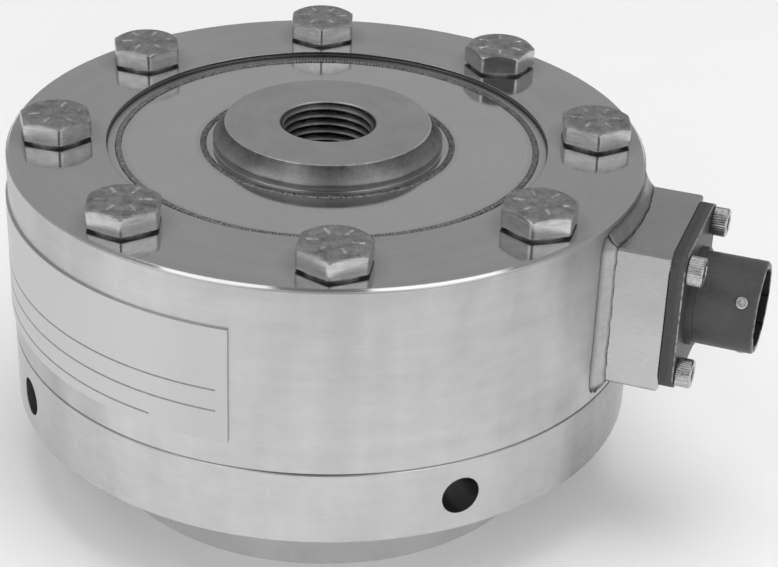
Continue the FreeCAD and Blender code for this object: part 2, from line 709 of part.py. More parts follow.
def make_contact_pins():
    """contacts with a tapered tip in front and a solder cup behind"""
    body = new_body("contact_pins", connector_axis, several=True)
    shanks = new_sketch(body, "shanks_outline", "YZ_Plane", barrel_end)
    add_contact_circles(shanks, half("pin_diameter"))
    length = "%s + Sizes.pin_reach - %s" % (insert_front, barrel_end)
    pad(body, "shanks", shanks, length)
    cups = new_sketch(body, "cups_outline", "YZ_Plane", barrel_end)
    add_contact_circles(cups, half("cup_diameter"))
    pad(body, "cups", cups, size("cup_length"), reverse=True)
    doc.recompute()
    tip_x = number("%s + Sizes.pin_reach" % insert_front)
    base = body.Tip
    names = []
    for index, edge in enumerate(base.Shape.Edges, start=1):
        if edge.BoundBox.XMin > tip_x - 0.001:
            names.append("Edge%d" % index)
    tips = body.newObject("PartDesign::Chamfer", "tips")
    tips.Base = (base, names)
    tips.setExpression("Size", size("pin_tip"))
    body.Tip = tips
    return body


def make_bayonet_pins():
    """three studs set through the shell's wall"""
    body = new_body("bayonet_pins", connector_axis, several=True)
    place = "%s - Sizes.bayonet_setback" % shell_end
    inner = shell_bore + " + Sizes.seat_clearance"
    stud = new_sketch(body, "stud_outline", "XY_Plane", "-(%s)" % inner)
    add_circle(stud, (place, "0"), half("bayonet_diameter"))
    length = "%s + Sizes.bayonet_rise - (%s)" % (half("shell_diameter"), inner)
    first = pad(body, "stud", stud, length, reverse=True)
    repeat(body, "studs", [first], size("bayonet_count"), "X_Axis")
    return body


def make_connector_screws():
    """socket head cap screws that hold the connector to its housing"""
    body = new_body("connector_screws", connector_axis, several=True)
    shanks = new_sketch(body, "shanks_outline", "YZ_Plane", flange_front)
    for place in screw_places():
        add_circle(shanks, place, half("screw_diameter"))
    pad(body, "shanks", shanks, size("screw_length"), reverse=True)
    heads = new_sketch(body, "heads_outline", "YZ_Plane", flange_front)
    for place in screw_places():
        add_circle(heads, place, half("screw_head_diameter"))
    pad(body, "heads", heads, size("screw_head_height"))
    head_end = "%s + Sizes.screw_head_height" % flange_front
    doc.recompute()
    base = body.Tip
    names = []
    for index, edge in enumerate(base.Shape.Edges, start=1):
        if edge.BoundBox.XMin > number(head_end) - 0.001:
            names.append("Edge%d" % index)
    edges = body.newObject("PartDesign::Chamfer", "head_edges")
    edges.Base = (base, names)
    edges.setExpression("Size", size("screw_head_edge"))
    body.Tip = edges
    sockets = new_sketch(body, "sockets_outline", "YZ_Plane", head_end)
    for place in screw_places():
        add_hexagon(sockets, place, size("socket_flats"))
    pocket(body, "sockets", sockets, size("socket_depth"))
    return body


def make_strain_gauge(index):
    """foil gauge bonded to the web at the bottom of a gauge pocket"""
    label = "strain_gauge_%d" % (index + 1)
    gauge = doc.addObject("Part::Box", label)
    gauge.Label = label
    gauge.setExpression("Length", size("gauge_length"))
    gauge.setExpression("Width", size("gauge_thickness"))
    gauge.setExpression("Height", size("gauge_width"))
    web = number(half("web_thickness"))
    across = web if index % 2 == 0 else -web - number(size("gauge_thickness"))
    corner = Vector(
        number(gauge_radius + " - Sizes.gauge_length / 2"),
        across,
        number(middle + " - Sizes.gauge_width / 2"))
    step = 360.0 / number(size("spoke_count"))
    angle = number(size("spoke_angle")) + step * (index // 2)
    swing = Placement(Vector(), Rotation(Vector(0, 0, 1), angle))
    gauge.Placement = swing.multiply(Placement(corner, Rotation()))
    return gauge


def make_compensation_board():
    """ring-shaped circuit board bonded to the tops of the shear webs"""
    body = new_body("compensation_board", spoke_top)
    turn(body, "board", [
        (board_inner, "0"),
        (board_outer, "0"),
        (board_outer, size("board_thickness")),
        (board_inner, size("board_thickness"))])
    return body


def make_trim_resistors():
    """resistors on the board, on the half that faces away from the connector"""
    height = "(%s + Sizes.board_thickness)" % spoke_top
    body = new_body("trim_resistors", height, several=True)
    sketch = new_sketch(body, "resistor_outline", "XY_Plane")
    add_rectangle(
        sketch,
        (gauge_radius + " - Sizes.resistor_width / 2", "-Sizes.resistor_length / 2"),
        (gauge_radius + " + Sizes.resistor_width / 2", "Sizes.resistor_length / 2"))
    first = pad(body, "resistor", sketch, size("resistor_height"))
    repeat(body, "resistors", [first], size("resistor_count"))
    return body


def wire_path(place, turn_x):
    """straight run from the solder cup, one bend and a rise to the board"""
    bend = number(size("wire_bend"))
    start = Vector(number(cup_end), place[0], number(connector_axis) + place[1])
    corner = Vector(turn_x, start.y, start.z)
    end = Vector(turn_x, start.y, number(spoke_top))
    bend_start = corner + Vector(bend, 0, 0)
    bend_end = corner + Vector(0, 0, bend)
    centre = corner + Vector(bend, 0, bend)
    half_way = centre + Vector(-1, 0, -1).normalize() * bend
    return Part.Wire([
        Part.makeLine(start, bend_start),
        Part.Arc(bend_start, half_way, bend_end).toShape(),
        Part.makeLine(bend_end, end)])


def make_lead_wires():
    """one wire from each contact to the board"""
    ring = number(half("pin_circle"))
    count = int(number(size("outer_pin_count")))
    radius = number(half("wire_diameter"))
    board_middle = number(gauge_radius)
    places = [(0.0, 0.0)]
    for index in range(count):
        angle = math.radians(90 + 360.0 * index / count)
        places.append((ring * math.cos(angle), ring * math.sin(angle)))
    wires = []
    for place in places:
        turn_x = board_middle + 0.9 * place[1] / ring * number(size("wire_bend"))
        path = wire_path(place, turn_x)
        start = path.Edges[0].Vertexes[0].Point
        ring_edge = Part.makeCircle(radius, start, Vector(1, 0, 0))
        wires.append(path.makePipeShell([Part.Wire(ring_edge)], True, True))
    group = doc.addObject("Part::Feature", "lead_wires")
    group.Label = "lead_wires"
    group.Shape = Part.makeCompound(wires)
    return group


def make_parts():
    """every sub-part, in the order of assembly"""
    parts = [
        make_mounting_base(),
        make_flexure_body(),
        make_diaphragm("lower_diaphragm", lower_floor),
        make_bead("lower_outer_weld", diaphragm_outer, lower_floor, False),
        make_bead("lower_hub_weld", shoulder, lower_floor, False),
        make_compensation_board(),
        make_trim_resistors(),
        make_diaphragm("upper_diaphragm", upper_seat),
        make_bead("upper_outer_weld", diaphragm_outer, upper_floor, True),
        make_bead("upper_hub_weld", shoulder, upper_floor, True),
        make_base_bolts(),
        make_nameplate(),
        make_connector_housing(),
        make_housing_weld(),
        make_connector_gasket(),
        make_connector_shell(),
        make_connector_insert(),
        make_contact_pins(),
        make_bayonet_pins(),
        make_connector_screws(),
        make_lead_wires()]
    for index in range(2 * int(number(size("spoke_count")))):
        parts.append(make_strain_gauge(index))
    return parts


def check_document():
    """stop if any object failed to compute"""
    for item in doc.Objects:
        if "Invalid" in item.State or "Error" in item.State:
            raise RuntimeError("%s did not compute: %s" % (item.Label, item.State))


def check_part(part):
    """stop if a sub-part has no sound solid"""
    shape = part.Shape
    if shape.isNull() or not shape.isValid() or not shape.Solids:
        raise RuntimeError("%s has no valid solid" % part.Label)


parts = make_parts()
doc.recompute()
check_document()
for part in parts:
    check_part(part)
os.makedirs("parts", exist_ok=True)
for part in parts:
    part.Shape.exportStep("parts/%s.step" % part.Label)
    print("%-22s %3d solids %12.2f mm3" % (part.Label, len(part.Shape.Solids), part.Shape.Volume))
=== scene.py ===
# Looks of the universal load cell: finishes, weld beads, threads, cap screws and studio.
# Sizes are millimetres in the row's frame and angles are degrees, and the meshes are made in metres.
import bpy
import math
from collections import namedtuple
from functools import cached_property
from mathutils import Matrix, Vector, noise


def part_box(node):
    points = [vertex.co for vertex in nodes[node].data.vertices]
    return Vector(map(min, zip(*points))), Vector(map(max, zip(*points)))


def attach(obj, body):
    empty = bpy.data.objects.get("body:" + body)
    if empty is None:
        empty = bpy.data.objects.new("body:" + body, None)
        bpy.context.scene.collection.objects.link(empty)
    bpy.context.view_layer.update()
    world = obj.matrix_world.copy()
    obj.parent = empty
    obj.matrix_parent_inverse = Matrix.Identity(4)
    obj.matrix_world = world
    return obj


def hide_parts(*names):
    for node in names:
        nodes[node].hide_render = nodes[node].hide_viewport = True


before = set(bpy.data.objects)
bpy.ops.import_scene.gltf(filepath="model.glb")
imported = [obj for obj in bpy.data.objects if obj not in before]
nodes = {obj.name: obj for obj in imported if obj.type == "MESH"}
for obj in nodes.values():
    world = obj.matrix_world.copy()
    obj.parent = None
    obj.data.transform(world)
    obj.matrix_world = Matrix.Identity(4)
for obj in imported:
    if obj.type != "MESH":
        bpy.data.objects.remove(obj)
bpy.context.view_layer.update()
MM = 0.001

Corner = namedtuple("Corner", "x y z")


def node_corner(name, end):
    """lowest (end 0) or highest (end 1) corner of a node's box, in millimetres"""
    return Corner(*(round(value / MM, 3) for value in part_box(name)[end]))


LOW = {name: node_corner(name, 0) for name in nodes}
HIGH = {name: node_corner(name, 1) for name in nodes}


def outer_radius(name):
    """radius of a round node about the load axis"""
    return max(-LOW[name].x, -LOW[name].y, HIGH[name].x, HIGH[name].y)


# the cell
BODY_RADIUS = outer_radius("flexure_body")
BASE_TOP = LOW["flexure_body"].z
HUB_TOP = HIGH["flexure_body"].z
BOSS_HEIGHT = 14.3
LOWER_FLOOR = LOW["lower_diaphragm"].z
RECESS_FLOOR = HIGH["upper_diaphragm"].z
RECESS_DEPTH = 1.0
RECESS_MARGIN = 1.95
RIM_TOP = RECESS_FLOOR + RECESS_DEPTH
DIAPHRAGM_RADIUS = outer_radius("upper_diaphragm")
RECESS_RADIUS = DIAPHRAGM_RADIUS + RECESS_MARGIN
HUB_RADIUS = 18.9
HUB_FACE_RADIUS = 17.0
FLANK_HEIGHT = 2.55
FLANK_FOOT = HUB_TOP - FLANK_HEIGHT

# seam welds: the bead's section, its unevenness and the ripples in each turn
SOLID_BEAD_WIDTH = 1.2
SHOULDER_RADIUS = outer_radius("upper_hub_weld") - SOLID_BEAD_WIDTH / 2
BEAD_LIMIT = HIGH["upper_hub_weld"].z - RECESS_FLOOR
BEAD_HALF_WIDTH = 0.56
BEAD_RISE = 0.29
BEAD_WANDER = 0.05
BEAD_CURVE = 0.8
RIPPLE_FOOT = 0.62
RIPPLE_FALL = 0.30
RIPPLE_CURVE = 0.7
RIPPLE_ROUGHNESS = 0.16
RIPPLE_LAG = 0.35
OUTER_RIPPLES = 400
HUB_RIPPLES = 250
LOWER_OUTER_RIPPLES = 150
LOWER_HUB_RIPPLES = 100

# load thread, 18 turns to the inch
THREAD_PITCH = 25.4 / 18
THREAD_MAJOR = 7.86
THREAD_MINOR = 7.2
THREAD_MOUTH = 8.1
THREAD_BACK = 7.93
THREAD_LIP = 0.02
THREAD_ROWS = 15
THREAD_CREST_SHARE = 0.09
THREAD_FLANK_SHARE = 0.74

# cap screws, and the degrees that each is turned from its even place
BOLT_CIRCLE = 44.45
BOLT_TURNS = (-11.3, 31.7, 19.7, -15.3, 3.7, 6.7, 12.7, 19.7)
BOLT_SPACING = 360.0 / len(BOLT_TURNS)
BOLT_HEAD = HIGH["base_bolts"].z - RIM_TOP
BOLT_LENGTH = RIM_TOP - LOW["base_bolts"].z
BOLT_FLATS = 10.95
BOLT_CORNER = 6.2
BOLT_CROWN = 5.2
BOLT_CHAMFER_ANGLE = 30.0
BOLT_WASHER_RADIUS = 5.2
BOLT_WASHER = 0.45
WASHER_EDGE = 0.06
BOLT_SHANK = 3.175
BOLT_TIP = 0.6
FORGING_RELIEF = 0.035
FORGING_FADE = 0.5

# raised dashes on the cap screws' heads
DASH_COUNT = 6
DASH_HEIGHT = 0.16
DASH_START = 2.3
DASH_END = 4.5
DASH_HALF_WIDTH = 0.34
DASH_SIDE_SLOPE = 0.16
DASH_END_SLOPE = 0.2
BOLT_CROWN_TOP = BOLT_HEAD - DASH_HEIGHT

# nameplate and its printed rules: depth below the plate's top, and distance from its right end
PLATE_TOP = HIGH["nameplate"].z
PLATE_THICKNESS = 0.4
PLATE_FACE = BODY_RADIUS + PLATE_THICKNESS
PLATE_END_ANGLE = -84.7
PLATE_SPAN = 83.3
RULES = ((10.4, 1.9), (14.0, 1.9), (17.45, 13.2))
RULE_WIDTH = 0.28
RULE_LEFT_MARGIN = 2.0
RULE_FACE = PLATE_FACE + 0.015
RULE_ROOT = PLATE_FACE - 0.02

# connector
CONNECTOR_AXIS = (LOW["connector_housing"].z + HIGH["connector_housing"].z) / 2
HOUSING_HALF = HIGH["connector_housing"].y
HOUSING_EDGE = 0.35
FLANGE_HALF = HIGH["connector_shell"].y
SHELL_END = HIGH["connector_shell"].x
SHELL_RADIUS = 7.5

# bayonet studs: radius and height of their turned profile, from the middle of the top down
STUD_PLACE = (LOW["bayonet_pins"].x + HIGH["bayonet_pins"].x) / 2
STUD_TOP = CONNECTOR_AXIS - LOW["bayonet_pins"].z
STUD_TURNS = (-90.0, 30.0, 150.0)
STUD_PROFILE = (
    (0.0, -0.16), (0.24, -0.14), (0.34, -0.02), (0.48, 0.0), (0.55, -0.12),
    (0.66, -0.12), (0.72, 0.0), (0.80, -0.01), (0.95, -0.16), (0.95, -1.6))

# connector screws
SCREW_TURNS = (12.0, 47.0, 3.0, 28.0)
SCREW_HEAD_RADIUS = 2.325
SCREW_HEAD_HEIGHT = 2.6
SCREW_SHANK = 1.42
SCREW_TIP = 0.3
SCREW_REACH = HIGH["connector_screws"].y - SCREW_HEAD_RADIUS
FLANGE_FRONT = HIGH["connector_screws"].x - SCREW_HEAD_HEIGHT
SCREW_LENGTH = FLANGE_FRONT - LOW["connector_screws"].x
SOCKET_FLATS = 2.4
SOCKET_DEPTH = 1.3
SOCKET_CHAMFER = 0.12
SOCKET_POINT = 0.25
KNURL_DEPTH = 0.13
KNURL_STEP = 3

# fillet weld round the housing's foot
FILLET_REACH = 1.6
FILLET_SIDE_LEG = 2.0
FILLET_END_LEG = 2.6
FILLET_HOLLOW = 0.25
FILLET_WAVE = 0.16
FILLET_WANDER = 0.05
FILLET_RIPPLE = 0.05
TOE_LIP = 0.05
NICK_DEPTH = 0.2
NICK_ANGLE = 70.0
NICK_SPREAD = 9.0

# dirt and painted shade on that weld: how much, and the shares of its section that it covers from either
# toe
NICK_DIRT_AND_SHADE = 0.85
BODY_TOE_DIRT_AND_SHADE = 0.5
BODY_TOE_SHARE = 0.28
BLOCK_TOE_SHARE = 0.2

# slow bands of painted reflection on the turned sides, with painted shade at the base's right edge: x
# and the tone added there
BODY_REFLECTION_BANDS = (
    (-30.0, -0.06), (-15.0, 0.07), (-5.0, 0.06), (10.0, -0.01), (24.0, 0.01),
    (34.0, 0.02), (42.0, -0.05), (46.0, -0.06), (49.0, 0.0))
BASE_REFLECTION_AND_SHADE_BANDS = ((-30.0, -0.07), (-16.0, 0.0), (30.0, 0.0), (42.0, -0.05), (48.3, -0.06), (49.7, -0.22))

# painted light and shade beside the fillet weld, with z in place of x, and where that zone fades in
WELD_LIGHT_AND_SHADE_BANDS = ((30.0, -0.05), (40.0, 0.09), (50.0, 0.04), (56.5, -0.08))
WELD_ZONE = (44.0, 49.0)

# grime and painted shade round each cap screw fade out over these distances from its axis
GRIME_AND_SHADE_RING = (5.6, 8.8)

# edge rounding fades out over these distances from the joint of body and base
SEAM_FADE = (0.35, 0.7)

# the side of the hub, in plan, where its upper edge carries a painted highlight
HIGHLIGHT_SIDE = (0.65, -0.76)

# the room round the part: its levels of light, and where its soft edges lie on a unit sphere
ROOM_LIGHT = 0.44
WALL_LIGHT = 1.2
DOOR_LIGHT = 0.05
CEILING_LIGHT = 0.28
FRONT_EDGE = (0.05, 0.45)
DOOR_EDGE = (0.26, 0.44)
CEILING_EDGE = (0.50, 0.66)

# lights, in metres and watts; mirrored says whether polished metal shows the light
Softbox = namedtuple("Softbox", "name place target size power mirrored")
SOFTBOXES = (
    Softbox("left_key", (-0.462, -0.474, 1.06), (0.0, 0.0, 0.03), (0.9, 0.42), 1.7, True),
    Softbox("right_key", (0.659, -0.168, 1.05), (0.0, 0.0, 0.03), (0.75, 0.40), 1.5, True),
    Softbox("overhead", (0.1, 0.05, 1.2), (0.05, 0.0, 0.03), (0.8, 0.8), 6.2, False),
    Softbox("floor_fill", (0.33, -0.88, 0.36), (0.0, 0.0, 0.0), (0.9, 0.4), 4.6, False),
)
FLOOR_HALF = 4.0

# camera: a 36 mm sensor, millimetres and degrees
SENSOR_WIDTH = 36.0
CAMERA_LENS = 93.64
CAMERA_DISTANCE = 334.91
CAMERA_ELEVATION = 24.719
CAMERA_AZIMUTH = 20.69
CAMERA_YAW = 1.821
CAMERA_PITCH = -4.12
CAMERA_ROLL = 1.322


# shader arithmetic: every function takes numbers and varying values alike

WHITE = (1.0, 1.0, 1.0)


class Value:
    """what varies over a surface, with plain arithmetic"""

    def __init__(self, socket):
        self.socket = socket

    def __add__(self, other):
        return calc("ADD", self, other)

    def __sub__(self, other):
        return calc("SUBTRACT", self, other)

    def __mul__(self, other):
        return calc("MULTIPLY", self, other)

    def __truediv__(self, other):
        return calc("DIVIDE", self, other)

    def __abs__(self):
        return calc("ABSOLUTE", self)

    __radd__ = __add__
    __rmul__ = __mul__


def feed(value, socket):
    """link a varying value to a socket, or set a number on it"""
    if isinstance(value, Value):
        socket.id_data.links.new(value.socket, socket)
    else:
        socket.default_value = value


def new_node(kind, *values):
    """node with the values on its first inputs, in the tree of the first value that varies"""
    tree = next(value.socket.id_data for value in values if isinstance(value, Value))
    node = tree.nodes.new(kind)
    for value, socket in zip(values, node.inputs):
        feed(value, socket)
    return node


def calc(operation, *values):
    node = new_node("ShaderNodeMath", *values)
    node.operation = operation
    return Value(node.outputs[0])


def largest(first, second):
    return calc("MAXIMUM", first, second)


def length_of(first, second):
    return calc("SQRT", first * first + second * second)


def remap(value, low, high, new_low, new_high):
    """linear map of a range, held at its ends"""
    return Value(new_node("ShaderNodeMapRange", value, low, high, new_low, new_high).outputs[0])


def rise(value, low, high):
    """0 below a range, 1 above it"""
    return remap(value, low, high, 0.0, 1.0)


def fall(value, low, high):
    """1 below a range, 0 above it"""
    return remap(value, low, high, 1.0, 0.0)


def between(value, low, high, soft):
    """1 inside a range, 0 outside, with short soft ends"""
    return rise(value, low - soft, low + soft) * fall(value, high - soft, high + soft)


def mix(share, first, second):
    """first where the share is 0, second where it is 1"""
    node = new_node("ShaderNodeMix", share)
    feed(first, node.inputs[2])
    feed(second, node.inputs[3])
    return Value(node.outputs[0])


def colour(value, tint=WHITE):
    """colour from a number and its shares in red, green and blue, grey by default"""
    return Value(new_node("ShaderNodeCombineColor", *(value * share for share in tint)).outputs[0])


def combine(x, y, z):
    return Value(new_node("ShaderNodeCombineXYZ", x, y, z).outputs[0])


def split(place):
    return [Value(socket) for socket in new_node("ShaderNodeSeparateXYZ", place).outputs]


def stretch(place, factors):
    node = new_node("ShaderNodeVectorMath", place, factors)
    node.operation = "MULTIPLY"
    return Value(node.outputs[0])


def noise_at(place, scale=1.0, detail=3.0, roughness=0.55):
    node = new_node("ShaderNodeTexNoise", place)
    node.inputs["Scale"].default_value = scale
    node.inputs["Detail"].default_value = detail
    node.inputs["Roughness"].default_value = roughness
    return Value(node.outputs["Fac"])


def swing(pattern, amount):
    """a noise about its middle, times an amount"""
    return (pattern - 0.5) * amount


def mottle(pattern, low, high):
    """the middle range of a noise spread over a range of tones"""
    return remap(pattern, 0.3, 0.7, low, high)


def painted_light_bands(value, levels):
    """painted light and shade that change slowly across the part: (place, level) pairs, held beyond the
    ends
    """
    total = levels[0][1]
    for (low, before), (high, after) in zip(levels, levels[1:]):
        if before != after:
            total = total + remap(value, low, high, 0.0, after - before)
    return total


class Finish:
    """a material being made, with the place of its points in millimetres"""

    def __init__(self, name, metallic=1.0):
        self.material = bpy.data.materials.new(name)
        self.material.use_nodes = True
        tree = self.material.node_tree
        self.shader = tree.nodes["Principled BSDF"]
        self.shader.inputs["Metallic"].default_value = metallic
        coordinates = tree.nodes.new("ShaderNodeTexCoord")
        self.place = stretch(Value(coordinates.outputs["Object"]), (1 / MM, 1 / MM, 1 / MM))
        self.x, self.y, self.z = split(self.place)

    @cached_property
    def radius(self):
        """distance from the load axis"""
        return largest(length_of(self.x, self.y), 0.01)

    def turn(self):
        """angle round the load axis, in radians"""
        return calc("ARCTAN2", self.y, self.x)

    def turned_noise(self, around, across, detail=2.0, roughness=0.55):
        """noise drawn out into fine lines round the load axis"""
        wide = self.x / self.radius * around
        deep = self.y / self.radius * around
        line = (self.radius + self.z) * across
        return noise_at(combine(wide, deep, line), 1.0, detail, roughness)

    def stretched_noise(self, factors, detail=3.0, roughness=0.55):
        """noise of a different size along each axis"""
        return noise_at(stretch(self.place, factors), 1.0, detail, roughness)

    def bolt_distance(self):
        """distance in plan from the nearest cap screw's axis"""
        spacing = math.radians(BOLT_SPACING)
        local = calc("FLOORED_MODULO", self.turn(), spacing) - spacing / 2
        across = self.radius * calc("SINE", local)
        along = self.radius * calc("COSINE", local) - BOLT_CIRCLE
        return length_of(across, along)

    def off_seam(self, edge):
        """edge rounding in millimetres that fades out beside the joint of body and base"""
        return remap(abs(self.z - BASE_TOP), *SEAM_FADE, 0.1, 1.0) * edge

    def paint(self, base_colour, roughness):
        """colour and roughness"""
        feed(base_colour, self.shader.inputs["Base Color"])
        feed(roughness, self.shader.inputs["Roughness"])

    def emboss(self, height, depth, edge=0.0):
        """relief of the given depth in millimetres; edge rounds the look of sharp corners"""
        tree = self.material.node_tree
        bump = tree.nodes.new("ShaderNodeBump")
        bump.inputs["Strength"].default_value = 1.0
        bump.inputs["Distance"].default_value = depth * MM
        feed(height, bump.inputs["Height"])
        feed(Value(bump.outputs[0]), self.shader.inputs["Normal"])
        if edge:
            rounded = tree.nodes.new("ShaderNodeBevel")
            rounded.samples = 6
            feed(edge * MM, rounded.inputs["Radius"])
            feed(Value(rounded.outputs[0]), bump.inputs["Normal"])


# finishes: tones and roughness are shares of 1

def body_finish():
    """turned side with slow bands of painted reflection, lapped rim with grime and painted shade round
    the cap screws, recess corner and wall in painted shade, hub with a dark flank in painted shade and a
    painted highlight on its upper edge
    """
    finish = Finish("body_finish")
    place, x, y, z = finish.place, finish.x, finish.y, finish.z
    radius = finish.radius
    lines = finish.turned_noise(1.5, 3.2, 2.0, 0.5)
    bands = finish.turned_noise(1.2, 0.35)
    tall = finish.stretched_noise((0.10, 0.10, 0.015))
    rubbed = finish.stretched_noise((0.3, 0.3, 0.5))
    smears = finish.stretched_noise((0.55, 0.55, 0.25), 4.0, 0.7)
    clouds = noise_at(place, 0.06)
    blotches = noise_at(place, 0.17, 2.0)
    fine = noise_at(place, 2.4, 4.0, 0.65)

    side = fall(z, RIM_TOP - 0.54, RIM_TOP - 0.50) * rise(radius, BODY_RADIUS - 0.4, BODY_RADIUS - 0.3)
    # weld_zone carries painted light and shade beside the fillet weld, and a rougher finish there
    weld_zone = side * rise(x, *WELD_ZONE)
    joint = between(z, BASE_TOP - 0.3, BASE_TOP + 0.10, 0.03)
    rim_chamfer = between(z, RIM_TOP - 0.62, RIM_TOP - 0.36, 0.03)
    # grime and painted shade: a darker, rougher halo round each cap screw
    grime_and_shade = fall(finish.bolt_distance(), *GRIME_AND_SHADE_RING) * mottle(fine, 0.5, 1.0)

    recess_foot = between(z, RECESS_FLOOR - 0.2, RECESS_FLOOR + 0.25, 0.03)
    # painted shade in the corner at the foot of the recess wall
    corner = between(radius, RECESS_RADIUS - 0.25, RECESS_RADIUS + 0.02, 0.03) * recess_foot
    recess_floor = between(z, RECESS_FLOOR - 0.2, RECESS_FLOOR + 0.1, 0.03)
    # painted highlight: the strip on the recess floor is a little lighter, and rougher
    strip = between(radius, DIAPHRAGM_RADIUS, RECESS_RADIUS - 0.2, 0.05) * recess_floor
    # painted shade on the recess wall
    recess_wall = between(z, RECESS_FLOOR + 0.05, RIM_TOP - 0.05, 0.03)
    wall = between(radius, RECESS_RADIUS - 0.1, RECESS_RADIUS + 0.05, 0.03) * recess_wall

    hub = fall(radius, HUB_RADIUS - 0.9, HUB_RADIUS + 0.6)
    flank = (between(radius, HUB_FACE_RADIUS - 0.03, HUB_RADIUS + 0.3, 0.04)
             * between(z, RECESS_FLOOR + 0.05, HUB_TOP - 0.04, 0.03))
    # painted highlight: a light line along the foot of the hub's flank
    flank_foot_highlight = flank * between(z, FLANK_FOOT - 0.17, FLANK_FOOT - 0.03, 0.06)
    # painted shade: the flank darker towards its top, a little lighter at its foot
    shade = (remap(z, FLANK_FOOT + 0.35, HUB_TOP - 0.3, -0.21, -0.33)
             + remap(z, FLANK_FOOT - 0.45, FLANK_FOOT - 0.15, 0.03, 0.0))
    # painted highlight along the front part of the hub's upper edge
    painted_edge_highlight = (between(radius, HUB_FACE_RADIUS - 0.28, HUB_FACE_RADIUS + 0.02, 0.05)
                 * rise(z, HUB_TOP - 0.2, HUB_TOP - 0.1)
                 * remap(smears, 0.42, 0.60, 0.1, 1.0)
                 * rise(x * HIGHLIGHT_SIDE[0] + y * HIGHLIGHT_SIDE[1], -6.0, 12.0))

    # the side's rubbed and streaked grain, slow bands of painted reflection, and painted shade that
    # darkens it towards the rim on the right
    side_grain_and_painted_light = (swing(rubbed, 0.09) + swing(tall, 0.22) + painted_light_bands(x, BODY_REFLECTION_BANDS)
                 + remap(x, -6.0, 20.0, 0.1, 1.0) * remap(z, BASE_TOP, RIM_TOP, 0.04, -0.05))
    flank_tone = shade + swing(smears, 0.10) + swing(blotches, 0.16) + swing(fine, 0.16)
    tone = (mix(side, mix(hub, 0.54, 0.48), 0.52)
            + swing(lines, 0.05)
            + swing(bands, 0.08)
            + swing(clouds, 0.10)
            + side * side_grain_and_painted_light
            + weld_zone * painted_light_bands(z, WELD_LIGHT_AND_SHADE_BANDS)
            + joint * -0.22
            + grime_and_shade * -0.17
            + corner * -0.34
            + strip * 0.06
            + wall * -0.34
            + hub * swing(blotches, 0.12)
            + flank * flank_tone
            + flank_foot_highlight * remap(blotches, 0.42, 0.58, 0.0, 0.22)
            + painted_edge_highlight * 0.30)
    roughness = (mix(side, 0.085, 0.32)
             + swing(clouds, 0.08)
             + swing(lines, 0.08)
             + rim_chamfer * 0.28
             + weld_zone * 0.14
             + grime_and_shade * 0.20
             + corner * 0.4
             + strip * 0.38
             + flank * 0.30)
    finish.paint(colour(largest(tone, 0.05)), roughness)
    finish.emboss(lines * mix(side, 0.15, 0.5), 0.003, edge=finish.off_seam(0.25))
    return finish.material


def base_finish():
    """turned bar stock: flange side with fine lines and slow bands of painted reflection, boss a little
    lighter, with painted light that brightens it towards the floor
    """
    finish = Finish("base_finish")
    lines = finish.turned_noise(1.5, 3.2, 2.0, 0.5)
    tall = finish.stretched_noise((0.10, 0.10, 0.015))
    rubbed = finish.stretched_noise((0.3, 0.3, 0.5))
    clouds = noise_at(finish.place, 0.07)
    boss = fall(finish.z, BOSS_HEIGHT - 0.2, BOSS_HEIGHT)
    joint = between(finish.z, BASE_TOP - 0.10, BASE_TOP + 0.3, 0.03)
    # painted light: the boss grows lighter towards the floor
    tone = (mix(boss, 0.565, remap(finish.z, 1.0, 11.0, 0.74, 0.62))
            + swing(lines, 0.06)
            + swing(rubbed, 0.09)
            + swing(tall, 0.20)
            + painted_light_bands(finish.x, BASE_REFLECTION_AND_SHADE_BANDS)
            + joint * -0.22
            + swing(clouds, 0.12))
    finish.paint(colour(tone), swing(clouds, 0.12) + 0.29)
    finish.emboss(lines, 0.002, edge=finish.off_seam(0.2))
    return finish.material


def diaphragm_finish():
    """thin sheet, half bright, with faint heat tint beside the welds"""
    finish = Finish("diaphragm_finish")
    lines = finish.turned_noise(1.5, 4.0, 2.0, 0.5)
    clouds = noise_at(finish.place, 0.09, 4.0)
    grain = noise_at(finish.place, 1.4, 4.0, 0.7)
    near_rim = rise(finish.radius, DIAPHRAGM_RADIUS - 1.6, DIAPHRAGM_RADIUS - 0.6)
    near_hub = fall(finish.radius, SHOULDER_RADIUS + 0.6, SHOULDER_RADIUS + 1.6)
    tone = (swing(lines, 0.05)
            + swing(clouds, 0.09)
            + swing(grain, 0.06)
            + near_rim * -0.07
            + near_hub * -0.08
            + 0.63)
    finish.paint(colour(tone), mottle(clouds, 0.07, 0.12))
    finish.emboss(lines + clouds * 2.0, 0.0015)
    return finish.material


def bead_finish():
    """seam weld: dull and dark, the outer one with a lighter middle and clearer ripples"""
    finish = Finish("bead_finish")
    fine = noise_at(finish.place, 1.9, 2.0, 0.6)
    patches = noise_at(finish.place, 0.45)
    radius = finish.radius
    halfway = (SHOULDER_RADIUS + DIAPHRAGM_RADIUS) / 2
    outer = rise(radius, halfway - 0.5, halfway + 0.5)
    seam = mix(outer, SHOULDER_RADIUS, DIAPHRAGM_RADIUS)
    ripple = finish.turn() * mix(outer, HUB_RIPPLES / (2 * math.pi), OUTER_RIPPLES / (2 * math.pi))
    notch = rise(abs(calc("FRACT", ripple) - 0.5), 0.22, 0.45)
    toes = rise(abs(radius - seam), 0.30, 0.50)
    tone = (mix(toes, mix(outer, 0.24, 0.38), mix(outer, 0.27, 0.22))
            + notch * mix(outer, -0.05, -0.22)
            + swing(fine, 0.75)
            + swing(patches, 0.24))
    finish.paint(colour(largest(tone, 0.10)), mottle(fine, 0.38, 0.58))
    finish.emboss(fine, 0.08)
    return finish.material


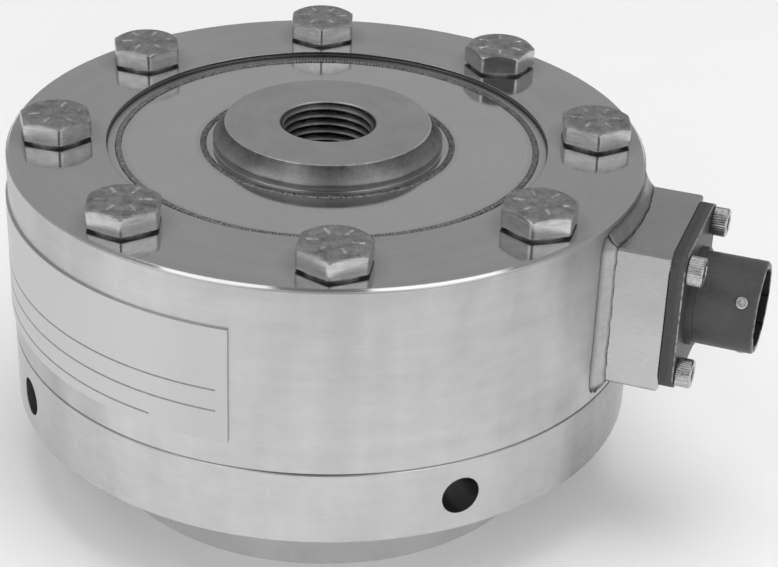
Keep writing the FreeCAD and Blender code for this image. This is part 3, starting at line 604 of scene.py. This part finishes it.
def fillet_finish():
    """ground fillet weld: light, faintly rippled, with dirt and painted shade along its toes, and
    painted shade along its top and bottom runs
    """
    finish = Finish("fillet_finish")
    fine = noise_at(finish.place, 2.6, 4.0, 0.65)
    patches = noise_at(finish.place, 0.45)
    # the toe attribute holds dirt and painted shade along the toes and in the corner nicks
    toe = finish.material.node_tree.nodes.new("ShaderNodeAttribute")
    toe.attribute_name = "toe"
    dirt_and_shade = Value(toe.outputs["Fac"]) * remap(patches, 0.35, 0.6, 0.55, 1.0)
    up = finish.z - CONNECTOR_AXIS
    # painted shade: darker where the weld runs along the housing's top, darker still under its lower
    # side
    tone = (mix(dirt_and_shade, 0.43, 0.06)
            + remap(up, HOUSING_HALF - 0.6, HOUSING_HALF + 0.2, 0.0, -0.13)
            + remap(up, -HOUSING_HALF - 1.2, -HOUSING_HALF - 0.4, -0.24, 0.0)
            + swing(fine, 0.20)
            + swing(patches, 0.20))
    finish.paint(colour(largest(tone, 0.03)), mix(dirt_and_shade, mottle(fine, 0.26, 0.42), 0.7))
    finish.emboss(fine, 0.03)
    return finish.material


def bolt_finish():
    """plated forging: mottled dull top with painted glints on its dashes, smoother flats under a painted
    light gradient, grime and painted shade on the washer face
    """
    finish = Finish("bolt_finish")
    fine = noise_at(finish.place, 2.6, 5.0, 0.65)
    patches = noise_at(finish.place, 0.55, 4.0, 0.65)
    streaks = finish.stretched_noise((0.5, 0.5, 3.0), 4.0)
    up = finish.z - RIM_TOP
    crown = rise(up, BOLT_CROWN_TOP - 0.61, BOLT_CROWN_TOP - 0.06)
    # painted glints on the raised dashes
    dashes = rise(up, BOLT_CROWN_TOP + 0.05, BOLT_CROWN_TOP + 0.12)
    # grime and painted shade on the washer face under the head
    washer_grime_and_shade = fall(up, BOLT_WASHER - 0.03, BOLT_WASHER + 0.13)
    # painted light: the flats lighter towards the washer face, darker towards the chamfer
    flats_painted_light = remap(up, BOLT_WASHER + 0.15, BOLT_CROWN_TOP - 0.61, 0.64, 0.50)
    tone = (mix(crown, flats_painted_light, 0.35)
            + swing(fine, mix(crown, 0.06, 0.40))
            + swing(patches, mix(crown, 0.22, 0.60))
            + swing(streaks, mix(crown, 0.42, 0.0))
            + dashes * remap(patches, 0.40, 0.58, 0.04, 0.34))
    tone = mix(washer_grime_and_shade, largest(tone, 0.10), remap(patches, 0.35, 0.65, 0.12, 0.34))
    roughness = mix(crown, 0.31, mottle(fine, 0.32, 0.46)) + washer_grime_and_shade * 0.3
    finish.paint(colour(tone), roughness)
    feed(remap(washer_grime_and_shade, 0.0, 1.0, 1.0, 0.3), finish.shader.inputs["Metallic"])
    finish.emboss(fine * crown + patches * mix(crown, 1.0, 2.0), 0.02)
    return finish.material


def plate_finish():
    """matt metal foil with level brush lines, and painted shade that makes it a little darker towards
    its right end
    """
    finish = Finish("plate_finish", 0.75)
    grain = finish.stretched_noise((0.3, 0.3, 6.0), 4.0)
    clouds = noise_at(finish.place, 0.12)
    # painted shade: darker towards the right end
    tone = remap(finish.x, -9.0, 0.0, 0.56, 0.515) + swing(grain, 0.05) + swing(clouds, 0.06)
    finish.paint(colour(tone), mottle(clouds, 0.36, 0.46))
    finish.emboss(grain, 0.002)
    return finish.material


def housing_finish():
    """milled block with fine straight cutter lines and darker, duller edges"""
    finish = Finish("housing_finish")
    lines = finish.stretched_noise((0.5, 3.0, 3.0), 2.0, 0.5)
    clouds = noise_at(finish.place, 0.12)
    up = finish.z - CONNECTOR_AXIS
    inner = calc("MINIMUM", abs(finish.y), abs(up))
    corner = rise(inner, HOUSING_HALF - 0.37, HOUSING_HALF - 0.30)
    top = rise(up, HOUSING_HALF - 0.1, HOUSING_HALF - 0.02)
    # painted shade: the sides grow darker towards the top
    tone = (mix(top, remap(up, -4.0, 9.0, 0.515, 0.42), 0.44)
            + swing(lines, 0.10)
            + swing(clouds, 0.14)
            + corner * -0.12)
    finish.paint(colour(tone), mottle(clouds, 0.22, 0.34) + corner * 0.2)
    finish.emboss(lines, 0.002, edge=0.3)
    return finish.material


def rubber_finish():
    """matt black sheet"""
    finish = Finish("rubber_finish", 0.0)
    grain = noise_at(finish.place, 2.0, 4.0)
    finish.paint(colour(mottle(grain, 0.026, 0.046)), mottle(grain, 0.5, 0.65))
    finish.emboss(grain, 0.02)
    return finish.material


def shell_finish():
    """dark conversion coat, worn in spots along the flange's front edge and the mouth"""
    finish = Finish("shell_finish", 0.0)
    x, y = finish.x, finish.y
    up = finish.z - CONNECTOR_AXIS
    grain = noise_at(finish.place, 1.6, 4.0)
    patches = noise_at(finish.place, 0.9, 4.0, 0.7)
    clouds = noise_at(finish.place, 0.18)
    at_front = between(x, FLANGE_FRONT - 0.22, FLANGE_FRONT + 0.05, 0.03)
    at_edge = rise(largest(abs(y), abs(up)), FLANGE_HALF - 0.22, FLANGE_HALF - 0.12)
    mouth = remap(x, SHELL_END - 0.14, SHELL_END - 0.08, 0.0, 0.55)
    # painted shade inside the shell
    inside_shade = (fall(length_of(y, up), SHELL_RADIUS - 0.6, SHELL_RADIUS - 0.2)
              * rise(x, FLANGE_FRONT, FLANGE_FRONT + 0.5))
    worn = largest(at_front * at_edge, mouth) * remap(patches, 0.38, 0.60, 0.15, 1.0)
    dark = mottle(grain, 0.036, 0.050) + swing(clouds, 0.03) + inside_shade * -0.045
    tone = mix(worn, largest(dark, 0.008), 0.40)
    finish.paint(colour(tone), mix(worn, mottle(grain, 0.40, 0.52), 0.35))
    feed(worn, finish.shader.inputs["Metallic"])
    finish.emboss(grain, 0.006)
    return finish.material


def thread_finish():
    """cut thread: roots darkened by painted shade against brighter crests, countersinks painted lighter
    """
    finish = Finish("thread_finish")
    grain = noise_at(finish.place, 1.8, 4.0)
    radius = finish.radius
    # painted shade: roots dark, crests lighter
    crest_and_root_shade = remap(radius, THREAD_MINOR + 0.05, THREAD_MAJOR - 0.15, 0.24, 0.06)
    # painted light: the countersink cone is lighter
    countersink = rise(radius, THREAD_MAJOR + 0.02, THREAD_MAJOR + 0.1)
    tone = mix(countersink, crest_and_root_shade, 0.46) + swing(grain, 0.08)
    finish.paint(colour(tone), mottle(grain, 0.40, 0.52))
    finish.emboss(grain, 0.006)
    return finish.material


def plain_finish(name, tone, roughness, metallic=0.0, spread=0.1, scale=1.5, depth=0.005, tint=WHITE):
    """small or inner pieces: one colour with slight mottling"""
    finish = Finish(name, metallic)
    grain = noise_at(finish.place, scale, 4.0)
    value = mottle(grain, tone * (1 - spread), tone * (1 + spread))
    finish.paint(colour(value, tint), mottle(grain, *roughness))
    finish.emboss(grain, depth)
    return finish.material


finishes = {
    "body": body_finish(),
    "base": base_finish(),
    "diaphragm": diaphragm_finish(),
    "bead": bead_finish(),
    "fillet": fillet_finish(),
    "bolt": bolt_finish(),
    "plate": plate_finish(),
    "housing": housing_finish(),
    "rubber": rubber_finish(),
    "shell": shell_finish(),
    "thread": thread_finish(),
    "insert": plain_finish("insert_finish", 0.016, (0.50, 0.65)),
    "contact": plain_finish("contact_finish", 0.9, (0.15, 0.25), 1.0, 0.06, tint=(1.0, 0.76, 0.34)),
    "stud": plain_finish("stud_finish", 0.55, (0.28, 0.42), 1.0, 0.25, 2.5, 0.03),
    "screw": plain_finish("screw_finish", 0.50, (0.26, 0.40), 1.0, 0.30, 2.0, 0.02),
    "gauge": plain_finish("gauge_finish", 0.7, (0.35, 0.5), spread=0.08, tint=(1.0, 0.62, 0.2)),
    "board": plain_finish("board_finish", 0.22, (0.3, 0.45), tint=(0.25, 1.0, 0.45)),
    "resistor": plain_finish("resistor_finish", 0.04, (0.3, 0.4)),
    "wire": plain_finish("wire_finish", 0.7, (0.4, 0.5), spread=0.05),
    "ink": plain_finish("ink_finish", 0.19, (0.4, 0.5), spread=0.2),
}

NODE_FINISHES = {
    "flexure_body": "body", "mounting_base": "base",
    "upper_diaphragm": "diaphragm", "lower_diaphragm": "diaphragm",
    "upper_outer_weld": "bead", "upper_hub_weld": "bead",
    "lower_outer_weld": "bead", "lower_hub_weld": "bead",
    "housing_weld": "fillet", "base_bolts": "bolt", "nameplate": "plate",
    "connector_housing": "housing", "connector_gasket": "rubber", "connector_shell": "shell",
    "connector_insert": "insert", "contact_pins": "contact", "bayonet_pins": "stud",
    "connector_screws": "screw", "compensation_board": "board", "trim_resistors": "resistor",
    "lead_wires": "wire",
}


def dress_nodes():
    """give each carried-over node its finish"""
    for name, node in nodes.items():
        finish = "gauge" if name.startswith("strain_gauge") else NODE_FINISHES[name]
        for holder in node.material_slots:
            holder.material = finishes[finish]


# mesh helpers

def add_piece(name, points, faces, finish, sharp=30.0):
    """mesh piece from points in millimetres, riding on the one body"""
    mesh = bpy.data.meshes.new(name)
    mesh.from_pydata([Vector(point) * MM for point in points], [], faces)
    mesh.validate()
    mesh.shade_smooth()
    mesh.set_sharp_from_angle(angle=math.radians(sharp))
    mesh.materials.append(finishes[finish])
    piece = bpy.data.objects.new(name, mesh)
    bpy.context.scene.collection.objects.link(piece)
    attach(piece, "root")
    return piece


def held(value):
    """a number held between 0 and 1"""
    return min(1.0, max(0.0, value))


def circle_angles(segments):
    return [2 * math.pi * index / segments for index in range(segments)]


def ring_at(angles, radius, height):
    """points round the z axis; radius and height are numbers, or lists with one for each angle"""
    radii = radius if isinstance(radius, list) else [radius] * len(angles)
    heights = height if isinstance(height, list) else [height] * len(angles)
    return [(r * math.cos(a), r * math.sin(a), h) for a, r, h in zip(angles, radii, heights)]


def moved(rings, move):
    return [[tuple(move @ Vector(point)) for point in ring] for ring in rings]


def join_rings(points, faces, rings, segments, closed=False):
    """append rings of points, joined in order; a ring of one point closes an end"""
    start = len(points)
    offsets = []
    for ring in rings:
        offsets.append(len(points))
        points.extend(ring)
    pairs = list(zip(offsets, rings, offsets[1:], rings[1:]))
    if closed:
        pairs.append((offsets[-1], rings[-1], start, rings[0]))
    for low, low_ring, high, high_ring in pairs:
        for index in range(segments):
            following = (index + 1) % segments
            if len(low_ring) == 1:
                faces.append((high + index, high + following, low))
            elif len(high_ring) == 1:
                faces.append((high, low + following, low + index))
            else:
                faces.append((high + index, high + following, low + following, low + index))


def loop_faces(row_count, width):
    """faces of rows of points that close on themselves both ways"""
    faces = []
    for index in range(row_count):
        here, there = index * width, ((index + 1) % row_count) * width
        for step in range(width):
            after = (step + 1) % width
            faces.append((here + step, there + step, there + after, here + after))
    return faces


# welded seams

def add_weld_ring(name, node, radius, floor, up, ripple_count):
    """bead with overlapping ripples and a slightly uneven edge"""
    segments = ripple_count * 5
    steps = 8
    points = []
    for angle in circle_angles(segments):
        turn = ripple_count * angle / (2 * math.pi)
        phase = turn - math.floor(turn)
        around = Vector((math.cos(angle), math.sin(angle), 0.0))
        wander = noise.noise(around * radius * 0.45 + Vector((0, 0, floor)))
        rough = noise.noise(around * radius * 2.1)
        ripple = RIPPLE_FOOT + RIPPLE_FALL * (1 - phase) ** RIPPLE_CURVE + RIPPLE_ROUGHNESS * rough
        height = min(BEAD_RISE * ripple, BEAD_LIMIT)
        half_width = BEAD_HALF_WIDTH * (0.94 + 0.06 * rough)
        middle = radius + BEAD_WANDER * wander
        for step in range(steps + 1):
            across = math.pi * step / steps
            reach = middle + half_width * math.cos(across)
            lagging = angle - RIPPLE_LAG * math.sin(across) / ripple_count
            points.append((reach * math.cos(lagging), reach * math.sin(lagging),
                           floor + up * height * math.sin(across) ** BEAD_CURVE))
    faces = loop_faces(segments, steps + 1)
    if up < 0:
        faces = [face[::-1] for face in faces]
    piece = add_piece(name, points, faces, "bead", 50.0)
    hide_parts(node)


def fillet_stations():
    """foot of the housing, walked once round: point, outward direction and share of the corner's nick"""
    stations = []
    side_steps, corner_steps = 72, 30
    flat = HOUSING_HALF - HOUSING_EDGE
    for quarter in range(4):
        turn = Matrix.Rotation(math.pi / 2 * quarter, 2)
        for step in range(side_steps):
            along = -flat + 2 * flat * step / side_steps
            stations.append((turn @ Vector((HOUSING_HALF, along)), turn @ Vector((1.0, 0.0)), 0.0))
        for step in range(corner_steps):
            angle = math.pi / 2 * step / corner_steps
            out = Vector((math.cos(angle), math.sin(angle)))
            foot = Vector((flat, flat)) + out * HOUSING_EDGE
            foot, out = turn @ foot, turn @ out
            slant = math.degrees(math.atan2(abs(out.y), abs(out.x)))
            stations.append((foot, out, math.exp(-((slant - NICK_ANGLE) / NICK_SPREAD) ** 2)))
    return stations


def fillet_dirt_and_shade(share, cut):
    """dirt and painted shade along the fillet's section, from the block's toe to the body's, and in the
    nick
    """
    block_toe = max(0.0, 1.0 - share / BLOCK_TOE_SHARE)
    body_toe = max(0.0, 1.0 - (1.0 - share) / BODY_TOE_SHARE) * BODY_TOE_DIRT_AND_SHADE
    return max(block_toe, body_toe, NICK_DIRT_AND_SHADE * cut)


def add_fillet_weld():
    """hollow fillet round the housing's foot, with ripples, wavy toes and a nick at each corner"""
    steps = 9
    stations = fillet_stations()
    points, dirt_and_shade = [], []
    for foot, out, cut in stations:
        seed = Vector((foot.x, foot.y, 0.0))
        wave = noise.noise(seed * 0.7)
        wander = noise.noise(seed * 0.9 + Vector((0, 0, 5.0)))
        nick = 1.0 - NICK_DEPTH * cut
        reach = (FILLET_REACH + FILLET_WAVE * wave) * nick
        leg = Vector((out.x * FILLET_SIDE_LEG, out.y * FILLET_END_LEG))
        toe = foot + leg * ((1.0 + FILLET_WANDER * wander) * nick)
        root = math.sqrt(BODY_RADIUS ** 2 - foot.x ** 2)
        high = Vector((root + reach, foot.x, foot.y))
        low = Vector((math.sqrt(BODY_RADIUS ** 2 - toe.x ** 2) + TOE_LIP, toe.x, toe.y))
        heel = Vector((root, foot.x, foot.y))
        middle = (high + low) / 2
        pull = middle + (heel - middle) * FILLET_HOLLOW
        outward = (middle - heel).normalized()
        for step in range(steps + 1):
            share = step / steps
            point = high * (1 - share) ** 2 + pull * (2 * share * (1 - share)) + low * share ** 2
            ripple = noise.noise(seed * 2.3 + Vector((0, 0, share * 0.8)))
            point = point + outward * (FILLET_RIPPLE * math.sin(math.pi * share) * ripple)
            points.append((point.x, point.y, CONNECTOR_AXIS + point.z))
            dirt_and_shade.append(fillet_dirt_and_shade(share, cut))
        points.append((heel.x + (heel.x - middle.x) * 0.05, heel.y, CONNECTOR_AXIS + heel.z))
        dirt_and_shade.append(1.0)
    faces = [(a, d, c, b) for a, b, c, d in loop_faces(len(stations), steps + 2)]
    piece = add_piece("fillet_weld", points, faces, "fillet", 50.0)
    # the toe attribute carries dirt and painted shade
    shade = piece.data.attributes.new("toe", "FLOAT", "POINT")
    shade.data.foreach_set("value", dirt_and_shade)
    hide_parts("housing_weld")


# load threads

def thread_radius(turn):
    """radius of the cut thread at a number of turns along its helix"""
    from_middle = abs(turn % 1.0 - 0.5) * 2
    wave = held((from_middle - THREAD_CREST_SHARE) / THREAD_FLANK_SHARE)
    return THREAD_MINOR + (THREAD_MAJOR - THREAD_MINOR) * wave


def add_thread(name, low, high):
    """inside of a threaded bore, as a thin closed sleeve with its countersinks"""
    segments = 132
    angles = circle_angles(segments)
    rows = int((high - low) / THREAD_PITCH * THREAD_ROWS)
    rings = []
    for row in range(rows + 1):
        height = low + (high - low) * row / rows
        countersink = max(THREAD_MOUTH - (high - height), THREAD_MOUTH - (height - low))
        radii = []
        for angle in angles:
            radius = thread_radius(height / THREAD_PITCH - angle / (2 * math.pi))
            radii.append(min(max(radius, countersink), THREAD_MOUTH))
        rings.append(ring_at(angles, radii, height))
    flare = THREAD_MOUTH - THREAD_BACK
    rings.append(ring_at(angles, THREAD_MOUTH + THREAD_LIP, high))
    rings.append(ring_at(angles, THREAD_BACK, high - flare))
    rings.append(ring_at(angles, THREAD_BACK, low + flare))
    rings.append(ring_at(angles, THREAD_MOUTH + THREAD_LIP, low))
    points, faces = [], []
    join_rings(points, faces, rings, segments, closed=True)
    add_piece(name, points, faces, "thread", 40.0)


# cap screws

def hexagon_reach(angle, flats, corner):
    """distance from the axis to a hexagon's side, with its corners turned off"""
    local = (math.degrees(angle) % 60.0) - 30.0
    return min(flats / 2 / math.cos(math.radians(local)), corner)


def dash_height(radius, angle):
    """height of the raised dashes on a cap screw's head"""
    spacing = 360.0 / DASH_COUNT
    local = math.degrees(angle) % spacing - spacing / 2
    offset = abs(radius * math.sin(math.radians(local)))
    wide = held((DASH_HALF_WIDTH - offset) / DASH_SIDE_SLOPE)
    long = held((radius - DASH_START) / DASH_END_SLOPE) * held((DASH_END - radius) / DASH_END_SLOPE)
    return DASH_HEIGHT * wide * long


def chamfer_height(radius):
    """height of the head's chamfer at a distance from the axis"""
    return BOLT_CROWN_TOP - (radius - BOLT_CROWN) * math.tan(math.radians(BOLT_CHAMFER_ANGLE))


def bolt_rings(index, angles):
    """one cap screw about its own axis, from the head's middle down to the tip"""
    seed = Vector((index * 7.3, index * 3.1, 0.0))
    rings = [[(0.0, 0.0, BOLT_CROWN_TOP)]]
    crown_steps = 34
    for step in range(1, crown_steps + 1):
        radius = BOLT_CROWN * step / crown_steps
        fade = min(1.0, (BOLT_CROWN - radius) / FORGING_FADE)
        heights = []
        for angle in angles:
            spot = Vector((radius * math.cos(angle), radius * math.sin(angle), 0.0))
            forged = FORGING_RELIEF * noise.noise(spot * 0.9 + seed)
            heights.append(BOLT_CROWN_TOP + (dash_height(radius, angle) + forged) * fade)
        rings.append(ring_at(angles, radius, heights))

    # chamfer of the head, from the crown out to the hexagon
    edges = [hexagon_reach(angle, BOLT_FLATS, BOLT_CORNER) for angle in angles]
    for share in (0.35, 0.7, 0.93):
        radii = [BOLT_CROWN + (edge - BOLT_CROWN) * share for edge in edges]
        rings.append(ring_at(angles, radii, [chamfer_height(radius) for radius in radii]))

    # flats, from just under the chamfer down to the washer face
    for drop, inset in ((0.03, 0.02), (0.10, 0.0), (0.9, 0.0)):
        heights = [max(chamfer_height(edge) - drop, BOLT_WASHER + 0.5) for edge in edges]
        rings.append(ring_at(angles, [edge - inset for edge in edges], heights))
    for lift, inset in ((0.12, 0.0), (0.03, 0.03), (0.0, 0.12)):
        rings.append(ring_at(angles, [edge - inset for edge in edges], BOLT_WASHER + lift))

    # washer face and shank
    for radius, height in (
            (BOLT_WASHER_RADIUS, BOLT_WASHER),
            (BOLT_WASHER_RADIUS, WASHER_EDGE),
            (BOLT_WASHER_RADIUS - WASHER_EDGE, 0.0),
            (BOLT_SHANK, 0.0),
            (BOLT_SHANK, BOLT_TIP - BOLT_LENGTH),
            (BOLT_SHANK - BOLT_TIP, -BOLT_LENGTH)):
        rings.append(ring_at(angles, radius, height))
    rings.append([(0.0, 0.0, -BOLT_LENGTH)])
    return rings


def add_cap_screws():
    segments = 144
    angles = circle_angles(segments)
    points, faces = [], []
    for index, turn in enumerate(BOLT_TURNS):
        azimuth = math.radians(BOLT_SPACING * (index + 0.5))
        centre = Vector((BOLT_CIRCLE * math.cos(azimuth), BOLT_CIRCLE * math.sin(azimuth), RIM_TOP))
        heading = math.radians(BOLT_SPACING * index + turn)
        move = Matrix.Translation(centre) @ Matrix.Rotation(heading, 4, "Z")
        join_rings(points, faces, moved(bolt_rings(index, angles), move), segments)
    piece = add_piece("cap_screws", points, faces, "bolt", 35.0)
    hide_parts("base_bolts")


# connector screws

def screw_rings(angles):
    """socket head cap screw with a knurled head, about its own axis"""
    rings = [[(0.0, 0.0, SCREW_HEAD_HEIGHT - SOCKET_DEPTH - SOCKET_POINT)]]
    for depth, flats in (
            (SOCKET_DEPTH, SOCKET_FLATS),
            (SOCKET_CHAMFER, SOCKET_FLATS),
            (0.0, SOCKET_FLATS + 2 * SOCKET_CHAMFER)):
        radii = [hexagon_reach(angle, flats, SCREW_HEAD_RADIUS) for angle in angles]
        rings.append(ring_at(angles, radii, SCREW_HEAD_HEIGHT - depth))
    for inset, depth in ((0.34, 0.0), (0.24, 0.03), (0.04, 0.22)):
        rings.append(ring_at(angles, SCREW_HEAD_RADIUS - inset, SCREW_HEAD_HEIGHT - depth))
    knurl = [SCREW_HEAD_RADIUS] * len(angles)
    knurl[::KNURL_STEP] = [SCREW_HEAD_RADIUS - KNURL_DEPTH] * len(knurl[::KNURL_STEP])
    for height in (SCREW_HEAD_HEIGHT - 0.34, 0.24):
        rings.append(ring_at(angles, knurl, height))
    for radius, height in (
            (SCREW_HEAD_RADIUS - 0.1, 0.14),
            (SCREW_HEAD_RADIUS - 0.2, 0.0),
            (SCREW_SHANK, 0.0),
            (SCREW_SHANK, SCREW_TIP - SCREW_LENGTH),
            (SCREW_SHANK - SCREW_TIP, -SCREW_LENGTH)):
        rings.append(ring_at(angles, radius, height))
    rings.append([(0.0, 0.0, -SCREW_LENGTH)])
    return rings


def add_connector_screws():
    segments = 108
    rings = screw_rings(circle_angles(segments))
    points, faces = [], []
    places = [(y, z) for y in (-1, 1) for z in (-1, 1)]
    for (y, z), turn in zip(places, SCREW_TURNS):
        centre = Vector((FLANGE_FRONT, y * SCREW_REACH, CONNECTOR_AXIS + z * SCREW_REACH))
        move = (Matrix.Translation(centre) @ Matrix.Rotation(math.radians(90.0), 4, "Y")
                @ Matrix.Rotation(math.radians(turn), 4, "Z"))
        join_rings(points, faces, moved(rings, move), segments)
    piece = add_piece("flange_screws", points, faces, "screw", 25.0)
    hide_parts("connector_screws")


# bayonet studs

def add_bayonet_studs():
    """three studs with a turned ring and a dimple in each end"""
    segments = 40
    angles = circle_angles(segments)
    rings = [[(0.0, 0.0, STUD_PROFILE[0][1])]]
    rings += [ring_at(angles, radius, height) for radius, height in STUD_PROFILE[1:]]
    rings.append([(0.0, 0.0, STUD_PROFILE[-1][1])])
    points, faces = [], []
    for turn in STUD_TURNS:
        move = (Matrix.Translation((STUD_PLACE, 0.0, CONNECTOR_AXIS))
                @ Matrix.Rotation(math.radians(turn - 90.0), 4, "X")
                @ Matrix.Translation((0.0, 0.0, STUD_TOP)))
        join_rings(points, faces, moved(rings, move), segments)
    piece = add_piece("bayonet_studs", points, faces, "stud", 40.0)
    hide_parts("bayonet_pins")


# nameplate

def add_plate_rules():
    """three plain printed rules on the plate, each a thin strip"""
    points, faces = [], []
    steps = 240
    width = steps + 1
    left = PLATE_END_ANGLE - PLATE_SPAN + RULE_LEFT_MARGIN
    for depth, right_end in RULES:
        right = PLATE_END_ANGLE - math.degrees(right_end / PLATE_FACE)
        angles = [math.radians(right + (left - right) * step / steps) for step in range(width)]
        top = PLATE_TOP - depth
        base = len(points)
        for radius, height in ((RULE_ROOT, top), (RULE_FACE, top),
                               (RULE_FACE, top - RULE_WIDTH), (RULE_ROOT, top - RULE_WIDTH)):
            points.extend(ring_at(angles, radius, height))
        for side in range(4):
            here, there = base + side * width, base + ((side + 1) % 4) * width
            for step in range(steps):
                faces.append((here + step, here + step + 1, there + step + 1, there + step))
        faces.append(tuple(base + side * width for side in range(4)))
        faces.append(tuple(base + side * width + steps for side in (3, 2, 1, 0)))
    add_piece("plate_rules", points, faces, "ink")


# studio

def add_floor():
    """pale floor that the part stands on"""
    finish = Finish("floor_finish", 0.0)
    finish.paint(colour(mottle(noise_at(finish.place, 0.01), 0.86, 0.88)), 0.9)
    finish.shader.inputs["Specular IOR Level"].default_value = 0.1
    mesh = bpy.data.meshes.new("floor")
    corners = [(x * FLOOR_HALF, y * FLOOR_HALF, 0) for x, y in ((-1, -1), (1, -1), (1, 1), (-1, 1))]
    mesh.from_pydata(corners, [], [(0, 1, 2, 3)])
    mesh.materials.append(finish.material)
    floor = bpy.data.objects.new("floor", mesh)
    bpy.context.scene.collection.objects.link(floor)


def add_softbox(box):
    """rectangular area light, turned to its target"""
    data = bpy.data.lights.new(box.name, "AREA")
    data.shape = "RECTANGLE"
    data.size, data.size_y = box.size
    data.energy = box.power
    light = bpy.data.objects.new(box.name, data)
    light.location = box.place
    light.rotation_euler = (Vector(box.target) - Vector(box.place)).to_track_quat("-Z", "Y").to_euler()
    light.visible_glossy = box.mirrored
    bpy.context.scene.collection.objects.link(light)


def add_world():
    """plain grey room: even behind the part, a bright wall with a dark opening in front, dark above"""
    world = bpy.data.worlds.new("studio")
    world.use_nodes = True
    tree = world.node_tree
    coordinates = tree.nodes.new("ShaderNodeTexCoord")
    x, y, z = split(Value(coordinates.outputs["Generated"]))
    azimuth = math.radians(CAMERA_AZIMUTH)
    front = rise(x * math.sin(azimuth) + y * -math.cos(azimuth), *FRONT_EDGE)
    beside = abs(x * math.cos(azimuth) + y * math.sin(azimuth))
    wall = remap(beside, *DOOR_EDGE, DOOR_LIGHT, WALL_LIGHT)
    wall = remap(z, *CEILING_EDGE, wall, CEILING_LIGHT)
    feed(colour(mix(front, ROOM_LIGHT, wall)), tree.nodes["Background"].inputs["Color"])
    bpy.context.scene.world = world


def add_camera():
    """the photograph's view: turned round the rim's middle, then panned, tilted and rolled"""
    data = bpy.data.cameras.new("camera")
    data.lens = CAMERA_LENS
    data.sensor_width = SENSOR_WIDTH
    data.clip_start = 0.01
    camera = bpy.data.objects.new("camera", data)
    bpy.context.scene.collection.objects.link(camera)
    elevation = math.radians(CAMERA_ELEVATION)
    reach = Vector((0.0, -math.cos(elevation), math.sin(elevation))) * CAMERA_DISTANCE * MM
    camera.matrix_world = (
        Matrix.Translation((0.0, 0.0, RIM_TOP * MM))
        @ Matrix.Rotation(math.radians(CAMERA_AZIMUTH), 4, "Z")
        @ Matrix.Translation(reach)
        @ Matrix.Rotation(math.radians(90.0 - CAMERA_ELEVATION), 4, "X")
        @ Matrix.Rotation(math.radians(-CAMERA_YAW), 4, "Y")
        @ Matrix.Rotation(math.radians(CAMERA_PITCH), 4, "X")
        @ Matrix.Rotation(math.radians(CAMERA_ROLL), 4, "Z"))
    bpy.context.scene.camera = camera


dress_nodes()
for name, node, radius, floor, up, ripple_count in (
        ("outer_bead", "upper_outer_weld", DIAPHRAGM_RADIUS, RECESS_FLOOR, 1, OUTER_RIPPLES),
        ("hub_bead", "upper_hub_weld", SHOULDER_RADIUS, RECESS_FLOOR, 1, HUB_RIPPLES),
        ("lower_outer_bead", "lower_outer_weld", DIAPHRAGM_RADIUS, LOWER_FLOOR, -1, LOWER_OUTER_RIPPLES),
        ("lower_hub_bead", "lower_hub_weld", SHOULDER_RADIUS, LOWER_FLOOR, -1, LOWER_HUB_RIPPLES)):
    add_weld_ring(name, node, radius, floor, up, ripple_count)
add_thread("hub_thread", LOWER_FLOOR, HUB_TOP)
add_thread("base_thread", 0.0, BASE_TOP)
add_cap_screws()
add_connector_screws()
add_bayonet_studs()
add_fillet_weld()
add_plate_rules()
add_floor()
add_world()
for box in SOFTBOXES:
    add_softbox(box)
add_camera()
bpy.context.scene.view_settings.view_transform = "Standard"
